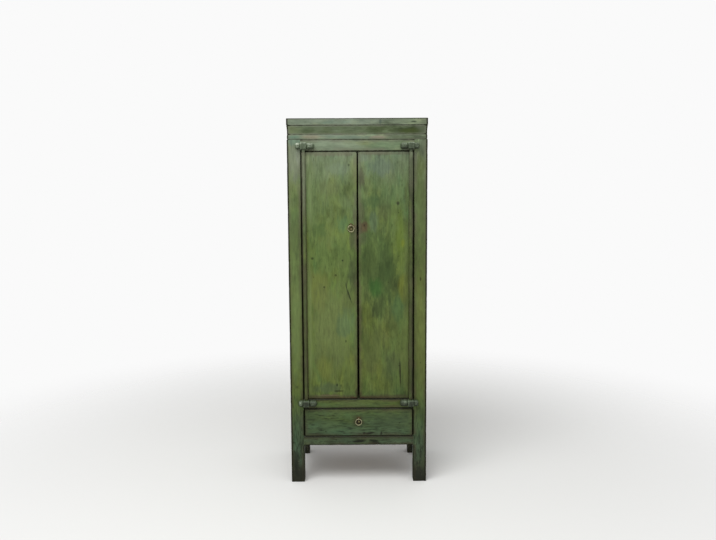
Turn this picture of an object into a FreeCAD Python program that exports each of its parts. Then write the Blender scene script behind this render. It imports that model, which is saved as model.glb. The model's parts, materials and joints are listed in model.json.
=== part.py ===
import FreeCAD, Part
import os
from typing import NamedTuple

os.makedirs("parts", exist_ok=True)

# Narrow lacquered cabinet with two pivot-hung doors over one drawer.
# Millimetres. X runs to the right seen from the front, Y runs to the back, Z runs up from the floor.
# The origin is the middle of the bounding box, on the floor.

# Carcass, over the posts
BODY_WIDTH = 580.0
BODY_DEPTH = 390.0
POST_WIDTH = 56.0
POST_DEPTH = 50.0

# Heights, from the floor up
LEG_HEIGHT = 163.0
BOTTOM_RAIL_HEIGHT = 37.0
DRAWER_OPENING_HEIGHT = 126.0
MIDDLE_RAIL_HEIGHT = 38.0
DOOR_OPENING_HEIGHT = 1049.0
TOP_RAIL_HEIGHT = 46.0
NECK_HEIGHT = 22.0
FRIEZE_HEIGHT = 36.0
TOP_THICKNESS = 29.0

# Rails, panels and their joints
FRONT_RAIL_DEPTH = 30.0
SIDE_RAIL_THICKNESS = 26.0
REAR_RAIL_THICKNESS = 24.0
TENON_LENGTH = 18.0
TENON_THICKNESS = 10.0
TENON_HAUNCH = 2.0
STUB_TENON_LENGTH = 8.0
STUB_TENON_SHARE = 0.6
STUB_TENON_COVER = 6.0
PANEL_THICKNESS = 10.0
BACK_THICKNESS = 8.0
GROOVE_DEPTH = 8.0
JOINT_SLACK = 0.2
CUT_MARGIN = 1.0
NEARLY_ZERO = 0.01

# Floor, shelves and drawer supports
FLOOR_THICKNESS = 14.0
FLOOR_GROOVE_DEPTH = 6.0
FLOOR_DROP = 2.0
SHELF_THICKNESS = 16.0
SHELF_SETBACK = 4.0
SHELF_SIDE_GAP = 1.5
SHELF_NAMES = ("lower", "upper")
BEARER_WIDTH = 22.0
BEARER_HEIGHT = 24.0
RUNNER_WIDTH = 30.0
RUNNER_HEIGHT = 20.0

# Crown
TOP_OVERHANG = 1.0
TOP_FRAME_WIDTH = 70.0
TOP_PANEL_THICKNESS = 15.0
TOP_PANEL_TONGUE = 7.0
TOP_PANEL_GAP = 1.0
CORNICE_THICKNESS = 22.0
CORNICE_INSET = 2.0
NECK_INSET = 1.3
NECK_BULGE = 1.2
FRIEZE_FLARE = 2.2
FRIEZE_HOLLOW = 0.22
MITRE_REACH = 20.0
POST_STUB_SHARE = 0.5

# Doors
DOOR_THICKNESS = 20.0
DOOR_END_GAP = 3.5
DOOR_MEETING_GAP = 6.0
STILE_GAP = 4.0
BEAD_RADIUS = 8.0
BEAD_STANDOFF = 0.5
PIN_SHOULDER = 1.0
PIN_CLEARANCE = 0.3
PIN_LENGTH = 22.0
PIN_TOP_ROOM = 3.0
PIN_HOLE_FLOOR = 5.0
PIN_SEAT_GAP = 0.3
DOOR_TONGUE_LENGTH = 6.0
DOOR_TONGUE_THICKNESS = 6.0
DOOR_STOP_HEIGHT = 11.0
DOOR_STOP_GAP = 0.3
BATTEN_COUNT = 3
BATTEN_WIDTH = 26.0
BATTEN_PROUD = 16.0
BATTEN_KEY_DEPTH = 6.0
BATTEN_KEY_SPREAD = 3.0
BATTEN_END_GAP = 14.0
BATTEN_PULL_GAP = 8.0
BATTEN_FROM_DOOR_END = 120.0

# Carved pivot blocks
BLOCK_HEIGHT = 28.0
BLOCK_FRONT_WALL = 8.2
BLOCK_CHEEK_WALL = 5.7
BLOCK_LOBE_PROUD = 20.0
BLOCK_OUTER_LOBE = 20.0
BLOCK_INNER_LOBE = 32.0
BLOCK_NECK_HEIGHT = 16.0
BLOCK_NECK_PROUD = 13.0
BLOCK_NECK_END_INSET = 8.0
BLOCK_LOBE_OVERLAP = 2.0
BLOCK_LOBE_STEP = 1.0
BLOCK_COLLAR_ROUNDING = 5.0
BLOCK_INNER_ROUNDING = 11.0
BLOCK_OUTER_ROUNDING = 9.0
BLOCK_ROUNDING_LIMIT = 0.42
LOWER_BLOCK_DROP = 0.5
UPPER_BLOCK_RISE = 6.0
BLOCK_NAIL_RADIUS = 1.6
BLOCK_NAIL_HEAD_RADIUS = 3.2
BLOCK_NAIL_HEAD_HEIGHT = 1.6
BLOCK_NAIL_BITE = 20.0
NAIL_SLACK = 0.1

# Pulls
PULL_FROM_MEETING_EDGE = 24.5
PULL_ABOVE_DOOR_FOOT = 739.5
DRAWER_PULL_RISE = 17.0
RING_RADIUS = 13.0
RING_WIRE_RADIUS = 2.0
EYE_WIRE_RADIUS = 1.2
EYE_PLAY = 1.0
EYE_RING_GAP = 0.3
EYE_ROSETTE_GAP = 0.4
SHANK_RADIUS = 2.2
SHANK_SLACK = 0.3
CLINCH_LENGTH = 12.0
ROSETTE_RADIUS = 8.0
ROSETTE_THICKNESS = 1.2
ROSETTE_ROUNDING = 0.6

# Drawer
DRAWER_GAP = 3.5
DRAWER_FRONT_THICKNESS = 20.0
DRAWER_REAR_GAP = 31.0
DRAWER_SIDE_THICKNESS = 12.0
DRAWER_BACK_THICKNESS = 12.0
DRAWER_BOTTOM_THICKNESS = 8.0
DRAWER_BOTTOM_RISE = 8.0
DRAWER_GROOVE_DEPTH = 5.0
DRAWER_SIDE_DROP = 6.0
DRAWER_BACK_DROP = 4.0
DRAWER_SEAT_GAP = 0.3
TAIL_COUNT = 3
TAIL_LENGTH = 12.0
TAIL_SPREAD = 2.0
TAIL_SHARE = 0.3
TAIL_BOTTOM_ROOM = 3.0

# Levels that follow from the heights
BOTTOM_RAIL_LOW = LEG_HEIGHT
BOTTOM_RAIL_TOP = BOTTOM_RAIL_LOW + BOTTOM_RAIL_HEIGHT
MIDDLE_RAIL_LOW = BOTTOM_RAIL_TOP + DRAWER_OPENING_HEIGHT
MIDDLE_RAIL_TOP = MIDDLE_RAIL_LOW + MIDDLE_RAIL_HEIGHT
TOP_RAIL_LOW = MIDDLE_RAIL_TOP + DOOR_OPENING_HEIGHT
TOP_RAIL_TOP = TOP_RAIL_LOW + TOP_RAIL_HEIGHT
NECK_TOP = TOP_RAIL_TOP + NECK_HEIGHT
FRIEZE_TOP = NECK_TOP + FRIEZE_HEIGHT
CABINET_TOP = FRIEZE_TOP + TOP_THICKNESS
FLOOR_TOP = MIDDLE_RAIL_TOP - FLOOR_DROP
FLOOR_LOW = FLOOR_TOP - FLOOR_THICKNESS
DOOR_LOW = MIDDLE_RAIL_TOP + DOOR_END_GAP
DOOR_TOP = TOP_RAIL_LOW - DOOR_END_GAP
DRAWER_LOW = BOTTOM_RAIL_TOP + DRAWER_GAP
DRAWER_TOP = MIDDLE_RAIL_LOW - DRAWER_GAP

# Sizes of the pivots and pulls that follow from one another
PIN_RADIUS = BEAD_RADIUS - PIN_SHOULDER
PIN_HOLE_RADIUS = PIN_RADIUS + PIN_CLEARANCE
PIVOT_PROUD = BEAD_STANDOFF + BEAD_RADIUS
BLOCK_COLLAR_HALF = PIN_HOLE_RADIUS + BLOCK_CHEEK_WALL
BLOCK_COLLAR_PROUD = PIVOT_PROUD + PIN_HOLE_RADIUS + BLOCK_FRONT_WALL
BLOCK_OUTER_REACH = BLOCK_COLLAR_HALF + BLOCK_OUTER_LOBE
BLOCK_INNER_REACH = BLOCK_COLLAR_HALF + BLOCK_INNER_LOBE
EYE_RADIUS = RING_WIRE_RADIUS + EYE_WIRE_RADIUS + EYE_PLAY
EYE_STANDOFF = ROSETTE_THICKNESS + EYE_ROSETTE_GAP + EYE_RADIUS + EYE_WIRE_RADIUS

# Planes that follow from the widths and depths
FRONT_PROUD = max(BLOCK_COLLAR_PROUD, BLOCK_LOBE_PROUD, TOP_OVERHANG)
FRONT = FRONT_PROUD - (FRONT_PROUD + BODY_DEPTH) / 2.0
BACK = FRONT + BODY_DEPTH
BODY_HALF = BODY_WIDTH / 2.0
POST_INNER = BODY_HALF - POST_WIDTH
SIDE_RAIL_INNER = BODY_HALF - SIDE_RAIL_THICKNESS
SIDE_PANEL_X = BODY_HALF - SIDE_RAIL_THICKNESS / 2.0
BACK_PANEL_Y = BACK - REAR_RAIL_THICKNESS / 2.0
FRONT_POST_BACK = FRONT + POST_DEPTH
REAR_POST_FRONT = BACK - POST_DEPTH
PIVOT_X = POST_INNER - STILE_GAP - BEAD_RADIUS
PIVOT_Y = FRONT - PIVOT_PROUD
PULL_X = DOOR_MEETING_GAP / 2.0 + PULL_FROM_MEETING_EDGE
PULL_Z = DOOR_LOW + PULL_ABOVE_DOOR_FOOT
DRAWER_PULL_Z = (DRAWER_LOW + DRAWER_TOP) / 2.0 + DRAWER_PULL_RISE
TENON_SHOULDER = GROOVE_DEPTH + TENON_HAUNCH
RAIL_LEVELS = {
    "bottom": (BOTTOM_RAIL_LOW, BOTTOM_RAIL_TOP),
    "middle": (MIDDLE_RAIL_LOW, MIDDLE_RAIL_TOP),
    "top": (TOP_RAIL_LOW, TOP_RAIL_TOP),
}

ORIGIN = FreeCAD.Vector(0, 0, 0)
ACROSS = FreeCAD.Vector(1, 0, 0)
BACKWARD = FreeCAD.Vector(0, 1, 0)
UP = FreeCAD.Vector(0, 0, 1)


class Box(NamedTuple):
    """A cuboid given by its range along each axis."""

    x: tuple
    y: tuple
    z: tuple

    def grown(self, slack):
        """The same cuboid with every face moved out by slack."""
        return Box(*[(low - slack, high + slack) for low, high in self])

    def solid(self):
        """The cuboid as a solid."""
        sizes = [high - low for low, high in self]
        return Part.makeBox(*sizes, FreeCAD.Vector(self.x[0], self.y[0], self.z[0]))


def centred(middle, width):
    """The range of the given width about a middle."""
    return (middle - width / 2.0, middle + width / 2.0)


def mirrored(shape):
    """The left-hand twin of a right-hand shape."""
    return shape.mirror(ORIGIN, ACROSS)


def united(shapes):
    """One solid out of shapes that meet or overlap."""
    whole = shapes[0].fuse(shapes[1:])
    return whole.removeSplitter()


def prism(corners, along):
    """A polygon of points pushed along a vector."""
    wire = Part.makePolygon(corners + [corners[0]])
    return Part.Face(wire).extrude(along)


def vector(x, y, z):
    return FreeCAD.Vector(x, y, z)


# Rails with their tenons

def shoulders(level):
    """The height range of a tenon inside its rail."""
    return (level[0] + TENON_SHOULDER, level[1] - TENON_SHOULDER)


def cross_rail(y, level):
    """Body and right-hand tenon of a rail that runs from post to post across the cabinet."""
    body = Box((-POST_INNER, POST_INNER), y, level)
    tenon_y = centred((y[0] + y[1]) / 2.0, TENON_THICKNESS)
    tenon = Box((POST_INNER, POST_INNER + TENON_LENGTH), tenon_y, shoulders(level))
    return body, tenon


def side_rail(level):
    """Body, front tenon and rear tenon of the right-hand rail at a level."""
    body = Box((SIDE_RAIL_INNER, BODY_HALF), (FRONT_POST_BACK, REAR_POST_FRONT), level)
    tenon_x = centred(SIDE_PANEL_X, TENON_THICKNESS)
    front = Box(tenon_x, (FRONT_POST_BACK - TENON_LENGTH, FRONT_POST_BACK), shoulders(level))
    rear = Box(tenon_x, (REAR_POST_FRONT, REAR_POST_FRONT + TENON_LENGTH), shoulders(level))
    return body, front, rear


FRONT_RAIL_Y = (FRONT, FRONT + FRONT_RAIL_DEPTH)
REAR_RAIL_Y = (BACK - REAR_RAIL_THICKNESS, BACK)


# Panels held in grooves

def between_rails(lower, upper):
    """Height range of a panel that enters the grooves of the rails below and above it."""
    return (RAIL_LEVELS[lower][1] - GROOVE_DEPTH, RAIL_LEVELS[upper][0] + GROOVE_DEPTH)


SIDE_PANELS = {
    name: Box(
        centred(SIDE_PANEL_X, PANEL_THICKNESS),
        (FRONT_POST_BACK - GROOVE_DEPTH, REAR_POST_FRONT + GROOVE_DEPTH),
        between_rails(lower, upper),
    )
    for name, lower, upper in (("lower", "bottom", "middle"), ("upper", "middle", "top"))
}
BACK_PANELS = {
    name: Box(
        (-POST_INNER - GROOVE_DEPTH, POST_INNER + GROOVE_DEPTH),
        centred(BACK_PANEL_Y, BACK_THICKNESS),
        between_rails(lower, upper),
    )
    for name, lower, upper in (("lower", "bottom", "middle"), ("upper", "middle", "top"))
}

# Floor of the cupboard, in grooves of the middle rails
FLOOR_BOX = Box(
    (-SIDE_RAIL_INNER - FLOOR_GROOVE_DEPTH, SIDE_RAIL_INNER + FLOOR_GROOVE_DEPTH),
    (FRONT_RAIL_Y[1] - FLOOR_GROOVE_DEPTH, REAR_RAIL_Y[0] + FLOOR_GROOVE_DEPTH),
    (FLOOR_LOW, FLOOR_TOP),
)


def post_boxes(height):
    """The four posts as plain cuboids, right and left, up to a height."""
    boxes = []
    for x in ((POST_INNER, BODY_HALF), (-BODY_HALF, -POST_INNER)):
        for y in ((FRONT, FRONT_POST_BACK), (REAR_POST_FRONT, BACK)):
            boxes.append(Box(x, y, (0.0, height)))
    return boxes


def make_floor():
    notches = [post.grown(JOINT_SLACK).solid() for post in post_boxes(TOP_RAIL_TOP)]
    return FLOOR_BOX.solid().cut(notches)


# Shelves on bearers that are stub-tenoned between the posts

def shelf_level(number):
    """Top of a shelf; the shelves share the door opening out evenly."""
    return MIDDLE_RAIL_TOP + DOOR_OPENING_HEIGHT * number / (len(SHELF_NAMES) + 1.0)


def make_shelf(number):
    half = SIDE_PANEL_X - PANEL_THICKNESS / 2.0 - SHELF_SIDE_GAP
    top = shelf_level(number)
    rear = BACK_PANEL_Y - BACK_THICKNESS / 2.0 - JOINT_SLACK
    board = Box((-half, half), (FRONT_POST_BACK + SHELF_SETBACK, rear), (top - SHELF_THICKNESS, top))
    notches = [post.grown(JOINT_SLACK).solid() for post in post_boxes(TOP_RAIL_TOP)]
    return board.solid().cut(notches)


def bearer_boxes(number):
    """Body, front stub and rear stub of the right-hand bearer under a shelf."""
    top = shelf_level(number) - SHELF_THICKNESS
    middle_x = (POST_INNER + SIDE_RAIL_INNER) / 2.0
    level = (top - BEARER_HEIGHT, top)
    body = Box(centred(middle_x, BEARER_WIDTH), (FRONT_POST_BACK, REAR_POST_FRONT), level)
    stub_x = centred(middle_x, BEARER_WIDTH * STUB_TENON_SHARE)
    stub_z = centred(top - BEARER_HEIGHT / 2.0, BEARER_HEIGHT * STUB_TENON_SHARE)
    front = Box(stub_x, (FRONT_POST_BACK - STUB_TENON_LENGTH, FRONT_POST_BACK), stub_z)
    rear = Box(stub_x, (REAR_POST_FRONT, REAR_POST_FRONT + STUB_TENON_LENGTH), stub_z)
    return body, front, rear


def make_bearers():
    solids = []
    for number in range(1, len(SHELF_NAMES) + 1):
        bearer = united([box.solid() for box in bearer_boxes(number)])
        solids += [bearer, mirrored(bearer)]
    return Part.makeCompound(solids)


# Runners below the drawer and kickers above it

def runner_boxes():
    """Body, front stub and rear stub of the right-hand drawer runner."""
    top = DRAWER_LOW - DRAWER_SEAT_GAP
    x = (POST_INNER - RUNNER_WIDTH, POST_INNER)
    body = Box(x, (FRONT_RAIL_Y[1], REAR_RAIL_Y[0]), (top - RUNNER_HEIGHT, top))
    stub_x = centred((x[0] + x[1]) / 2.0, RUNNER_WIDTH * STUB_TENON_SHARE)
    stub_z = (top - RUNNER_HEIGHT, BOTTOM_RAIL_TOP - STUB_TENON_COVER)
    front = Box(stub_x, (FRONT_RAIL_Y[1] - STUB_TENON_LENGTH, FRONT_RAIL_Y[1]), stub_z)
    rear = Box(stub_x, (REAR_RAIL_Y[0], REAR_RAIL_Y[0] + STUB_TENON_LENGTH), stub_z)
    return body, front, rear


def make_runners():
    runner = united([box.solid() for box in runner_boxes()])
    return Part.makeCompound([runner, mirrored(runner)])


def make_kickers():
    x = (POST_INNER - RUNNER_WIDTH, POST_INNER)
    kicker = Box(x, (FRONT_RAIL_Y[1], REAR_RAIL_Y[0]), (MIDDLE_RAIL_LOW, FLOOR_LOW)).solid()
    return Part.makeCompound([kicker, mirrored(kicker)])


# Carved pivot blocks, drawn for the right-hand side

def pillow(x, proud, height_range, rounding):
    """A lobe that stands out from the front plane, rounded everywhere but at its seat."""
    box = Box(x, (FRONT - proud, FRONT), height_range).solid()
    limit = BLOCK_ROUNDING_LIMIT * min(x[1] - x[0], height_range[1] - height_range[0], 2.0 * proud)
    edges = [edge for edge in box.Edges if edge.CenterOfMass.y < FRONT - NEARLY_ZERO]
    return box.makeFillet(min(rounding, limit), edges)


def block_level(upper):
    """Height range of the upper or lower blocks, inside the height of their rails."""
    if upper:
        low = TOP_RAIL_LOW + UPPER_BLOCK_RISE
        return (low, low + min(BLOCK_HEIGHT, TOP_RAIL_HEIGHT - UPPER_BLOCK_RISE))
    top = MIDDLE_RAIL_TOP - LOWER_BLOCK_DROP
    return (top - min(BLOCK_HEIGHT, MIDDLE_RAIL_HEIGHT - LOWER_BLOCK_DROP), top)


def lobe_middles():
    """X of the nails, one through each lobe."""
    outer = PIVOT_X + (BLOCK_COLLAR_HALF + BLOCK_OUTER_REACH) / 2.0
    inner = PIVOT_X - (BLOCK_COLLAR_HALF + BLOCK_INNER_REACH) / 2.0
    return outer, inner


def nail(x, z, slack):
    """A cut nail through a lobe into the frame; slack makes the hole for it."""
    head_front = FRONT - BLOCK_LOBE_PROUD - slack
    head_height = BLOCK_NAIL_HEAD_HEIGHT + 2.0 * slack
    head = Part.makeCylinder(BLOCK_NAIL_HEAD_RADIUS + slack, head_height, vector(x, head_front, z), BACKWARD)
    length = BLOCK_LOBE_PROUD + BLOCK_NAIL_BITE + 2.0 * slack
    shank = Part.makeCylinder(BLOCK_NAIL_RADIUS + slack, length, vector(x, head_front, z), BACKWARD)
    return united([head, shank])


def block_nails(slack):
    """All the nails of the four blocks."""
    nails = []
    for upper in (True, False):
        level = block_level(upper)
        for x in lobe_middles():
            one = nail(x, (level[0] + level[1]) / 2.0, slack)
            nails += [one, mirrored(one)]
    return nails


def pin_ends(upper):
    """Height range of the turned pin at one end of a door stile."""
    level = block_level(upper)
    if upper:
        return (DOOR_TOP, level[0] + min(PIN_LENGTH, BLOCK_HEIGHT - PIN_TOP_ROOM))
    return (level[1] - min(PIN_LENGTH, BLOCK_HEIGHT - PIN_HOLE_FLOOR), DOOR_LOW)


def make_block(upper):
    """One right-hand block: two lobes, a collar round the pin and the neck that ties them."""
    level = block_level(upper)
    collar = (PIVOT_X - BLOCK_COLLAR_HALF, PIVOT_X + BLOCK_COLLAR_HALF)
    inner = (PIVOT_X - BLOCK_INNER_REACH, collar[0] + BLOCK_LOBE_OVERLAP)
    outer = (collar[1] - BLOCK_LOBE_OVERLAP, PIVOT_X + BLOCK_OUTER_REACH)
    neck = Box(
        (inner[0] + BLOCK_NECK_END_INSET, outer[1] - BLOCK_NECK_END_INSET),
        (FRONT - BLOCK_NECK_PROUD, FRONT),
        centred((level[0] + level[1]) / 2.0, BLOCK_NECK_HEIGHT),
    )
    lobe_level = (level[0] + BLOCK_LOBE_STEP, level[1] - BLOCK_LOBE_STEP)
    parts = [
        pillow(collar, BLOCK_COLLAR_PROUD, level, BLOCK_COLLAR_ROUNDING),
        pillow(inner, BLOCK_LOBE_PROUD, lobe_level, BLOCK_INNER_ROUNDING),
        pillow(outer, BLOCK_LOBE_PROUD, lobe_level, BLOCK_OUTER_ROUNDING),
        neck.solid(),
    ]
    block = united(parts)
    pin = pin_ends(upper)
    hole_low = level[0] - CUT_MARGIN if upper else pin[0] - PIN_SEAT_GAP
    hole_height = BLOCK_HEIGHT + 2.0 * CUT_MARGIN
    hole = Part.makeCylinder(PIN_HOLE_RADIUS, hole_height, vector(PIVOT_X, PIVOT_Y, hole_low), UP)
    return block.cut([hole] + block_nails(NAIL_SLACK))


# Doors, drawn for the right-hand side

def make_stile():
    """Pivot stile: a bead with straight cheeks, grooved for the board, with a pin at each end."""
    left = PIVOT_X - BEAD_RADIUS
    right = PIVOT_X + BEAD_RADIUS
    back = FRONT + DOOR_THICKNESS
    arc = Part.Arc(
        vector(left, PIVOT_Y, DOOR_LOW),
        vector(PIVOT_X, PIVOT_Y - BEAD_RADIUS, DOOR_LOW),
        vector(right, PIVOT_Y, DOOR_LOW),
    ).toShape()
    cheeks = Part.makePolygon([
        vector(right, PIVOT_Y, DOOR_LOW),
        vector(right, back, DOOR_LOW),
        vector(left, back, DOOR_LOW),
        vector(left, PIVOT_Y, DOOR_LOW),
    ])
    outline = Part.Wire([arc] + cheeks.Edges)
    bead = Part.Face(outline).extrude(vector(0, 0, DOOR_TOP - DOOR_LOW))
    pins = []
    for upper in (True, False):
        low, high = pin_ends(upper)
        pins.append(Part.makeCylinder(PIN_RADIUS, high - low, vector(PIVOT_X, PIVOT_Y, low), UP))
    return united([bead] + pins).cut(door_tongue().grown(JOINT_SLACK).solid())


def door_tongue():
    """Tongue of the board inside the groove of its stile."""
    edge = PIVOT_X - BEAD_RADIUS
    return Box(
        (edge, edge + DOOR_TONGUE_LENGTH),
        centred(FRONT + DOOR_THICKNESS / 2.0, DOOR_TONGUE_THICKNESS),
        (DOOR_LOW, DOOR_TOP),
    )


def batten_levels():
    """Mid heights of the battens behind a door."""
    first = DOOR_LOW + BATTEN_FROM_DOOR_END
    last = DOOR_TOP - BATTEN_FROM_DOOR_END
    step = (last - first) / max(BATTEN_COUNT - 1.0, 1.0)
    return [first + step * number for number in range(BATTEN_COUNT)]


def batten(z, slack):
    """A sliding batten with a dovetail key; slack makes the groove for it."""
    face = FRONT + DOOR_THICKNESS
    half = BATTEN_WIDTH / 2.0 + slack
    wide = half + BATTEN_KEY_SPREAD
    key = face - BATTEN_KEY_DEPTH - slack
    left = PULL_X + SHANK_RADIUS + BATTEN_PULL_GAP - slack
    right = PIVOT_X - BEAD_RADIUS - BATTEN_END_GAP + slack
    corners = [
        vector(left, key, z - wide),
        vector(left, face, z - half),
        vector(left, face + BATTEN_PROUD, z - half),
        vector(left, face + BATTEN_PROUD, z + half),
        vector(left, face, z + half),
        vector(left, key, z + wide),
    ]
    return prism(corners, vector(right - left, 0, 0))


def make_battens():
    return Part.makeCompound([batten(z, 0.0) for z in batten_levels()])


def shank_hole(x, z):
    """Hole through a board of the front for the split pin of a pull."""
    start = FRONT - ROSETTE_THICKNESS - CUT_MARGIN
    depth = ROSETTE_THICKNESS + max(DOOR_THICKNESS, DRAWER_FRONT_THICKNESS) + 2.0 * CUT_MARGIN
    return Part.makeCylinder(SHANK_RADIUS + SHANK_SLACK, depth, vector(x, start, z), BACKWARD)


def make_door_board():
    body = Box(
        (DOOR_MEETING_GAP / 2.0, PIVOT_X - BEAD_RADIUS),
        (FRONT, FRONT + DOOR_THICKNESS),
        (DOOR_LOW, DOOR_TOP),
    )
    board = united([body.solid(), door_tongue().solid()])
    grooves = [batten(z, JOINT_SLACK) for z in batten_levels()]
    return board.cut(grooves + [shank_hole(PULL_X, PULL_Z)])


# Pulls: a split pin with an eye, a rosette under it and a ring through it

def make_eye(x, z, thickness):
    """Split pin: an eye in front, a shank through the board and two ends clinched behind."""
    eye_y = FRONT - EYE_STANDOFF
    eye = Part.makeTorus(EYE_RADIUS, EYE_WIRE_RADIUS, vector(x, eye_y, z), ACROSS)
    shank_front = eye_y + EYE_RADIUS
    shank_back = FRONT + thickness + EYE_WIRE_RADIUS
    shank = Part.makeCylinder(SHANK_RADIUS, shank_back - shank_front, vector(x, shank_front, z), BACKWARD)
    clinch = Box(
        centred(x, 2.0 * SHANK_RADIUS),
        (FRONT + thickness, FRONT + thickness + 2.0 * EYE_WIRE_RADIUS),
        centred(z, 2.0 * CLINCH_LENGTH),
    )
    return united([eye, shank, clinch.solid()])


def make_rosette(x, z):
    base = vector(x, FRONT - ROSETTE_THICKNESS, z)
    disc = Part.makeCylinder(ROSETTE_RADIUS, ROSETTE_THICKNESS, base, BACKWARD)
    rim = [edge for edge in disc.Edges if abs(edge.CenterOfMass.y - base.y) < NEARLY_ZERO and edge.Closed]
    rounded = disc.makeFillet(ROSETTE_THICKNESS * ROSETTE_ROUNDING, rim)
    return rounded.cut(shank_hole(x, z))


def make_ring(x, z):
    """Ring that hangs in the eye, a little below the middle of the eye."""
    axis_z = z - (EYE_RADIUS - EYE_WIRE_RADIUS - RING_WIRE_RADIUS - EYE_RING_GAP)
    middle = vector(x, FRONT - EYE_STANDOFF, axis_z - RING_RADIUS)
    return Part.makeTorus(RING_RADIUS, RING_WIRE_RADIUS, middle, BACKWARD)


# Drawer, with lapped dovetails at the front

DRAWER_HALF = POST_INNER - DRAWER_GAP
DRAWER_SIDE_TOP = DRAWER_TOP - DRAWER_SIDE_DROP
DRAWER_SIDE_X = (DRAWER_HALF - DRAWER_SIDE_THICKNESS, DRAWER_HALF)
DRAWER_REAR = REAR_RAIL_Y[0] - DRAWER_REAR_GAP
DRAWER_BOTTOM_BOX = Box(
    (-DRAWER_SIDE_X[0] - DRAWER_GROOVE_DEPTH, DRAWER_SIDE_X[0] + DRAWER_GROOVE_DEPTH),
    (FRONT + DRAWER_FRONT_THICKNESS - DRAWER_GROOVE_DEPTH, DRAWER_REAR),
    (DRAWER_LOW + DRAWER_BOTTOM_RISE, DRAWER_LOW + DRAWER_BOTTOM_RISE + DRAWER_BOTTOM_THICKNESS),
)
DRAWER_BACK_BOX = Box(
    (-DRAWER_SIDE_X[0] - DRAWER_GROOVE_DEPTH, DRAWER_SIDE_X[0] + DRAWER_GROOVE_DEPTH),
    (DRAWER_REAR - 2.0 * DRAWER_BACK_THICKNESS, DRAWER_REAR - DRAWER_BACK_THICKNESS),
    (DRAWER_BOTTOM_BOX.z[1], DRAWER_SIDE_TOP - DRAWER_BACK_DROP),
)


def tails(slack):
    """Dovetails at the front end of the right-hand drawer side; slack makes the sockets."""
    shoulder = FRONT + DRAWER_FRONT_THICKNESS
    tip = shoulder - TAIL_LENGTH
    first = DRAWER_BOTTOM_BOX.z[1] + TAIL_BOTTOM_ROOM
    pitch = (DRAWER_SIDE_TOP - first) / TAIL_COUNT
    shapes = []
    for number in range(TAIL_COUNT):
        middle = first + pitch * (number + 0.5)
        narrow = pitch * TAIL_SHARE + slack
        wide = narrow + TAIL_SPREAD
        x = DRAWER_SIDE_X[0] - slack
        corners = [
            vector(x, tip - slack, middle - wide),
            vector(x, shoulder, middle - narrow),
            vector(x, shoulder, middle + narrow),
            vector(x, tip - slack, middle + wide),
        ]
        shapes.append(prism(corners, vector(DRAWER_SIDE_THICKNESS + 2.0 * slack, 0, 0)))
    return shapes


def make_drawer_side():
    shoulder = FRONT + DRAWER_FRONT_THICKNESS
    body = Box(DRAWER_SIDE_X, (shoulder, DRAWER_REAR), (DRAWER_LOW, DRAWER_SIDE_TOP))
    whole = united([body.solid()] + tails(0.0))
    return whole.cut([box.grown(JOINT_SLACK).solid() for box in (DRAWER_BOTTOM_BOX, DRAWER_BACK_BOX)])


def make_drawer_front():
    body = Box(
        (-DRAWER_HALF, DRAWER_HALF),
        (FRONT, FRONT + DRAWER_FRONT_THICKNESS),
        (DRAWER_LOW, DRAWER_TOP),
    )
    sockets = tails(JOINT_SLACK)
    sockets += [mirrored(tail) for tail in sockets]
    groove = DRAWER_BOTTOM_BOX.grown(JOINT_SLACK).solid()
    return body.solid().cut(sockets + [groove, shank_hole(0.0, DRAWER_PULL_Z)])


# Crown: cornice boards and the mitred top frame

def cornice_profile(at):
    """Outline of a cornice board; at places an outward offset from the body and a height."""
    thick = -CORNICE_THICKNESS - CORNICE_INSET
    neck_ends = -NECK_INSET - NECK_BULGE
    flare_mid = -CORNICE_INSET + FRIEZE_HOLLOW * FRIEZE_FLARE
    frieze_mid = (NECK_TOP + FRIEZE_TOP) / 2.0
    neck = Part.Arc(
        at(neck_ends, TOP_RAIL_TOP),
        at(-NECK_INSET, TOP_RAIL_TOP + NECK_HEIGHT / 2.0),
        at(neck_ends, NECK_TOP),
    ).toShape()
    frieze = Part.Arc(
        at(-CORNICE_INSET, NECK_TOP),
        at(flare_mid, frieze_mid),
        at(-CORNICE_INSET + FRIEZE_FLARE, FRIEZE_TOP),
    ).toShape()
    quirk = Part.makeLine(at(neck_ends, NECK_TOP), at(-CORNICE_INSET, NECK_TOP))
    inside = Part.makePolygon([
        at(-CORNICE_INSET + FRIEZE_FLARE, FRIEZE_TOP),
        at(thick, FRIEZE_TOP),
        at(thick, TOP_RAIL_TOP),
        at(neck_ends, TOP_RAIL_TOP),
    ])
    return Part.Face(Part.Wire([neck, quirk, frieze] + inside.Edges))


def corner_wedge(near, far, low, high):
    """Plan region in front of the 45-degree lines through the front corners of the body."""
    corners = [
        vector(-BODY_HALF - near, FRONT - near, low),
        vector(BODY_HALF + near, FRONT - near, low),
        vector(BODY_HALF - far, FRONT + far, low),
        vector(-BODY_HALF + far, FRONT + far, low),
    ]
    return prism(corners, vector(0, 0, high - low))


def make_cornice():
    """Front, right and back cornice boards, mitred at the front corners."""
    reach = MITRE_REACH + TOP_OVERHANG
    deep = MITRE_REACH + CORNICE_THICKNESS + CORNICE_INSET
    wedge = corner_wedge(reach, deep, TOP_RAIL_TOP - CUT_MARGIN, FRIEZE_TOP + CUT_MARGIN)
    span = 2.0 * (BODY_HALF + reach)

    front_face = cornice_profile(lambda offset, z: vector(-span / 2.0, FRONT - offset, z))
    front = front_face.extrude(vector(span, 0, 0)).common(wedge)

    side_face = cornice_profile(lambda offset, z: vector(BODY_HALF + offset, FRONT - reach, z))
    side = side_face.extrude(vector(0, BODY_DEPTH + reach, 0)).cut(wedge)

    inner = BODY_HALF - CORNICE_INSET - CORNICE_THICKNESS
    back = Box(
        (-inner, inner),
        (BACK - CORNICE_INSET - CORNICE_THICKNESS, BACK - CORNICE_INSET),
        (TOP_RAIL_TOP, FRIEZE_TOP),
    ).solid()
    return front, side, back


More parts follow.
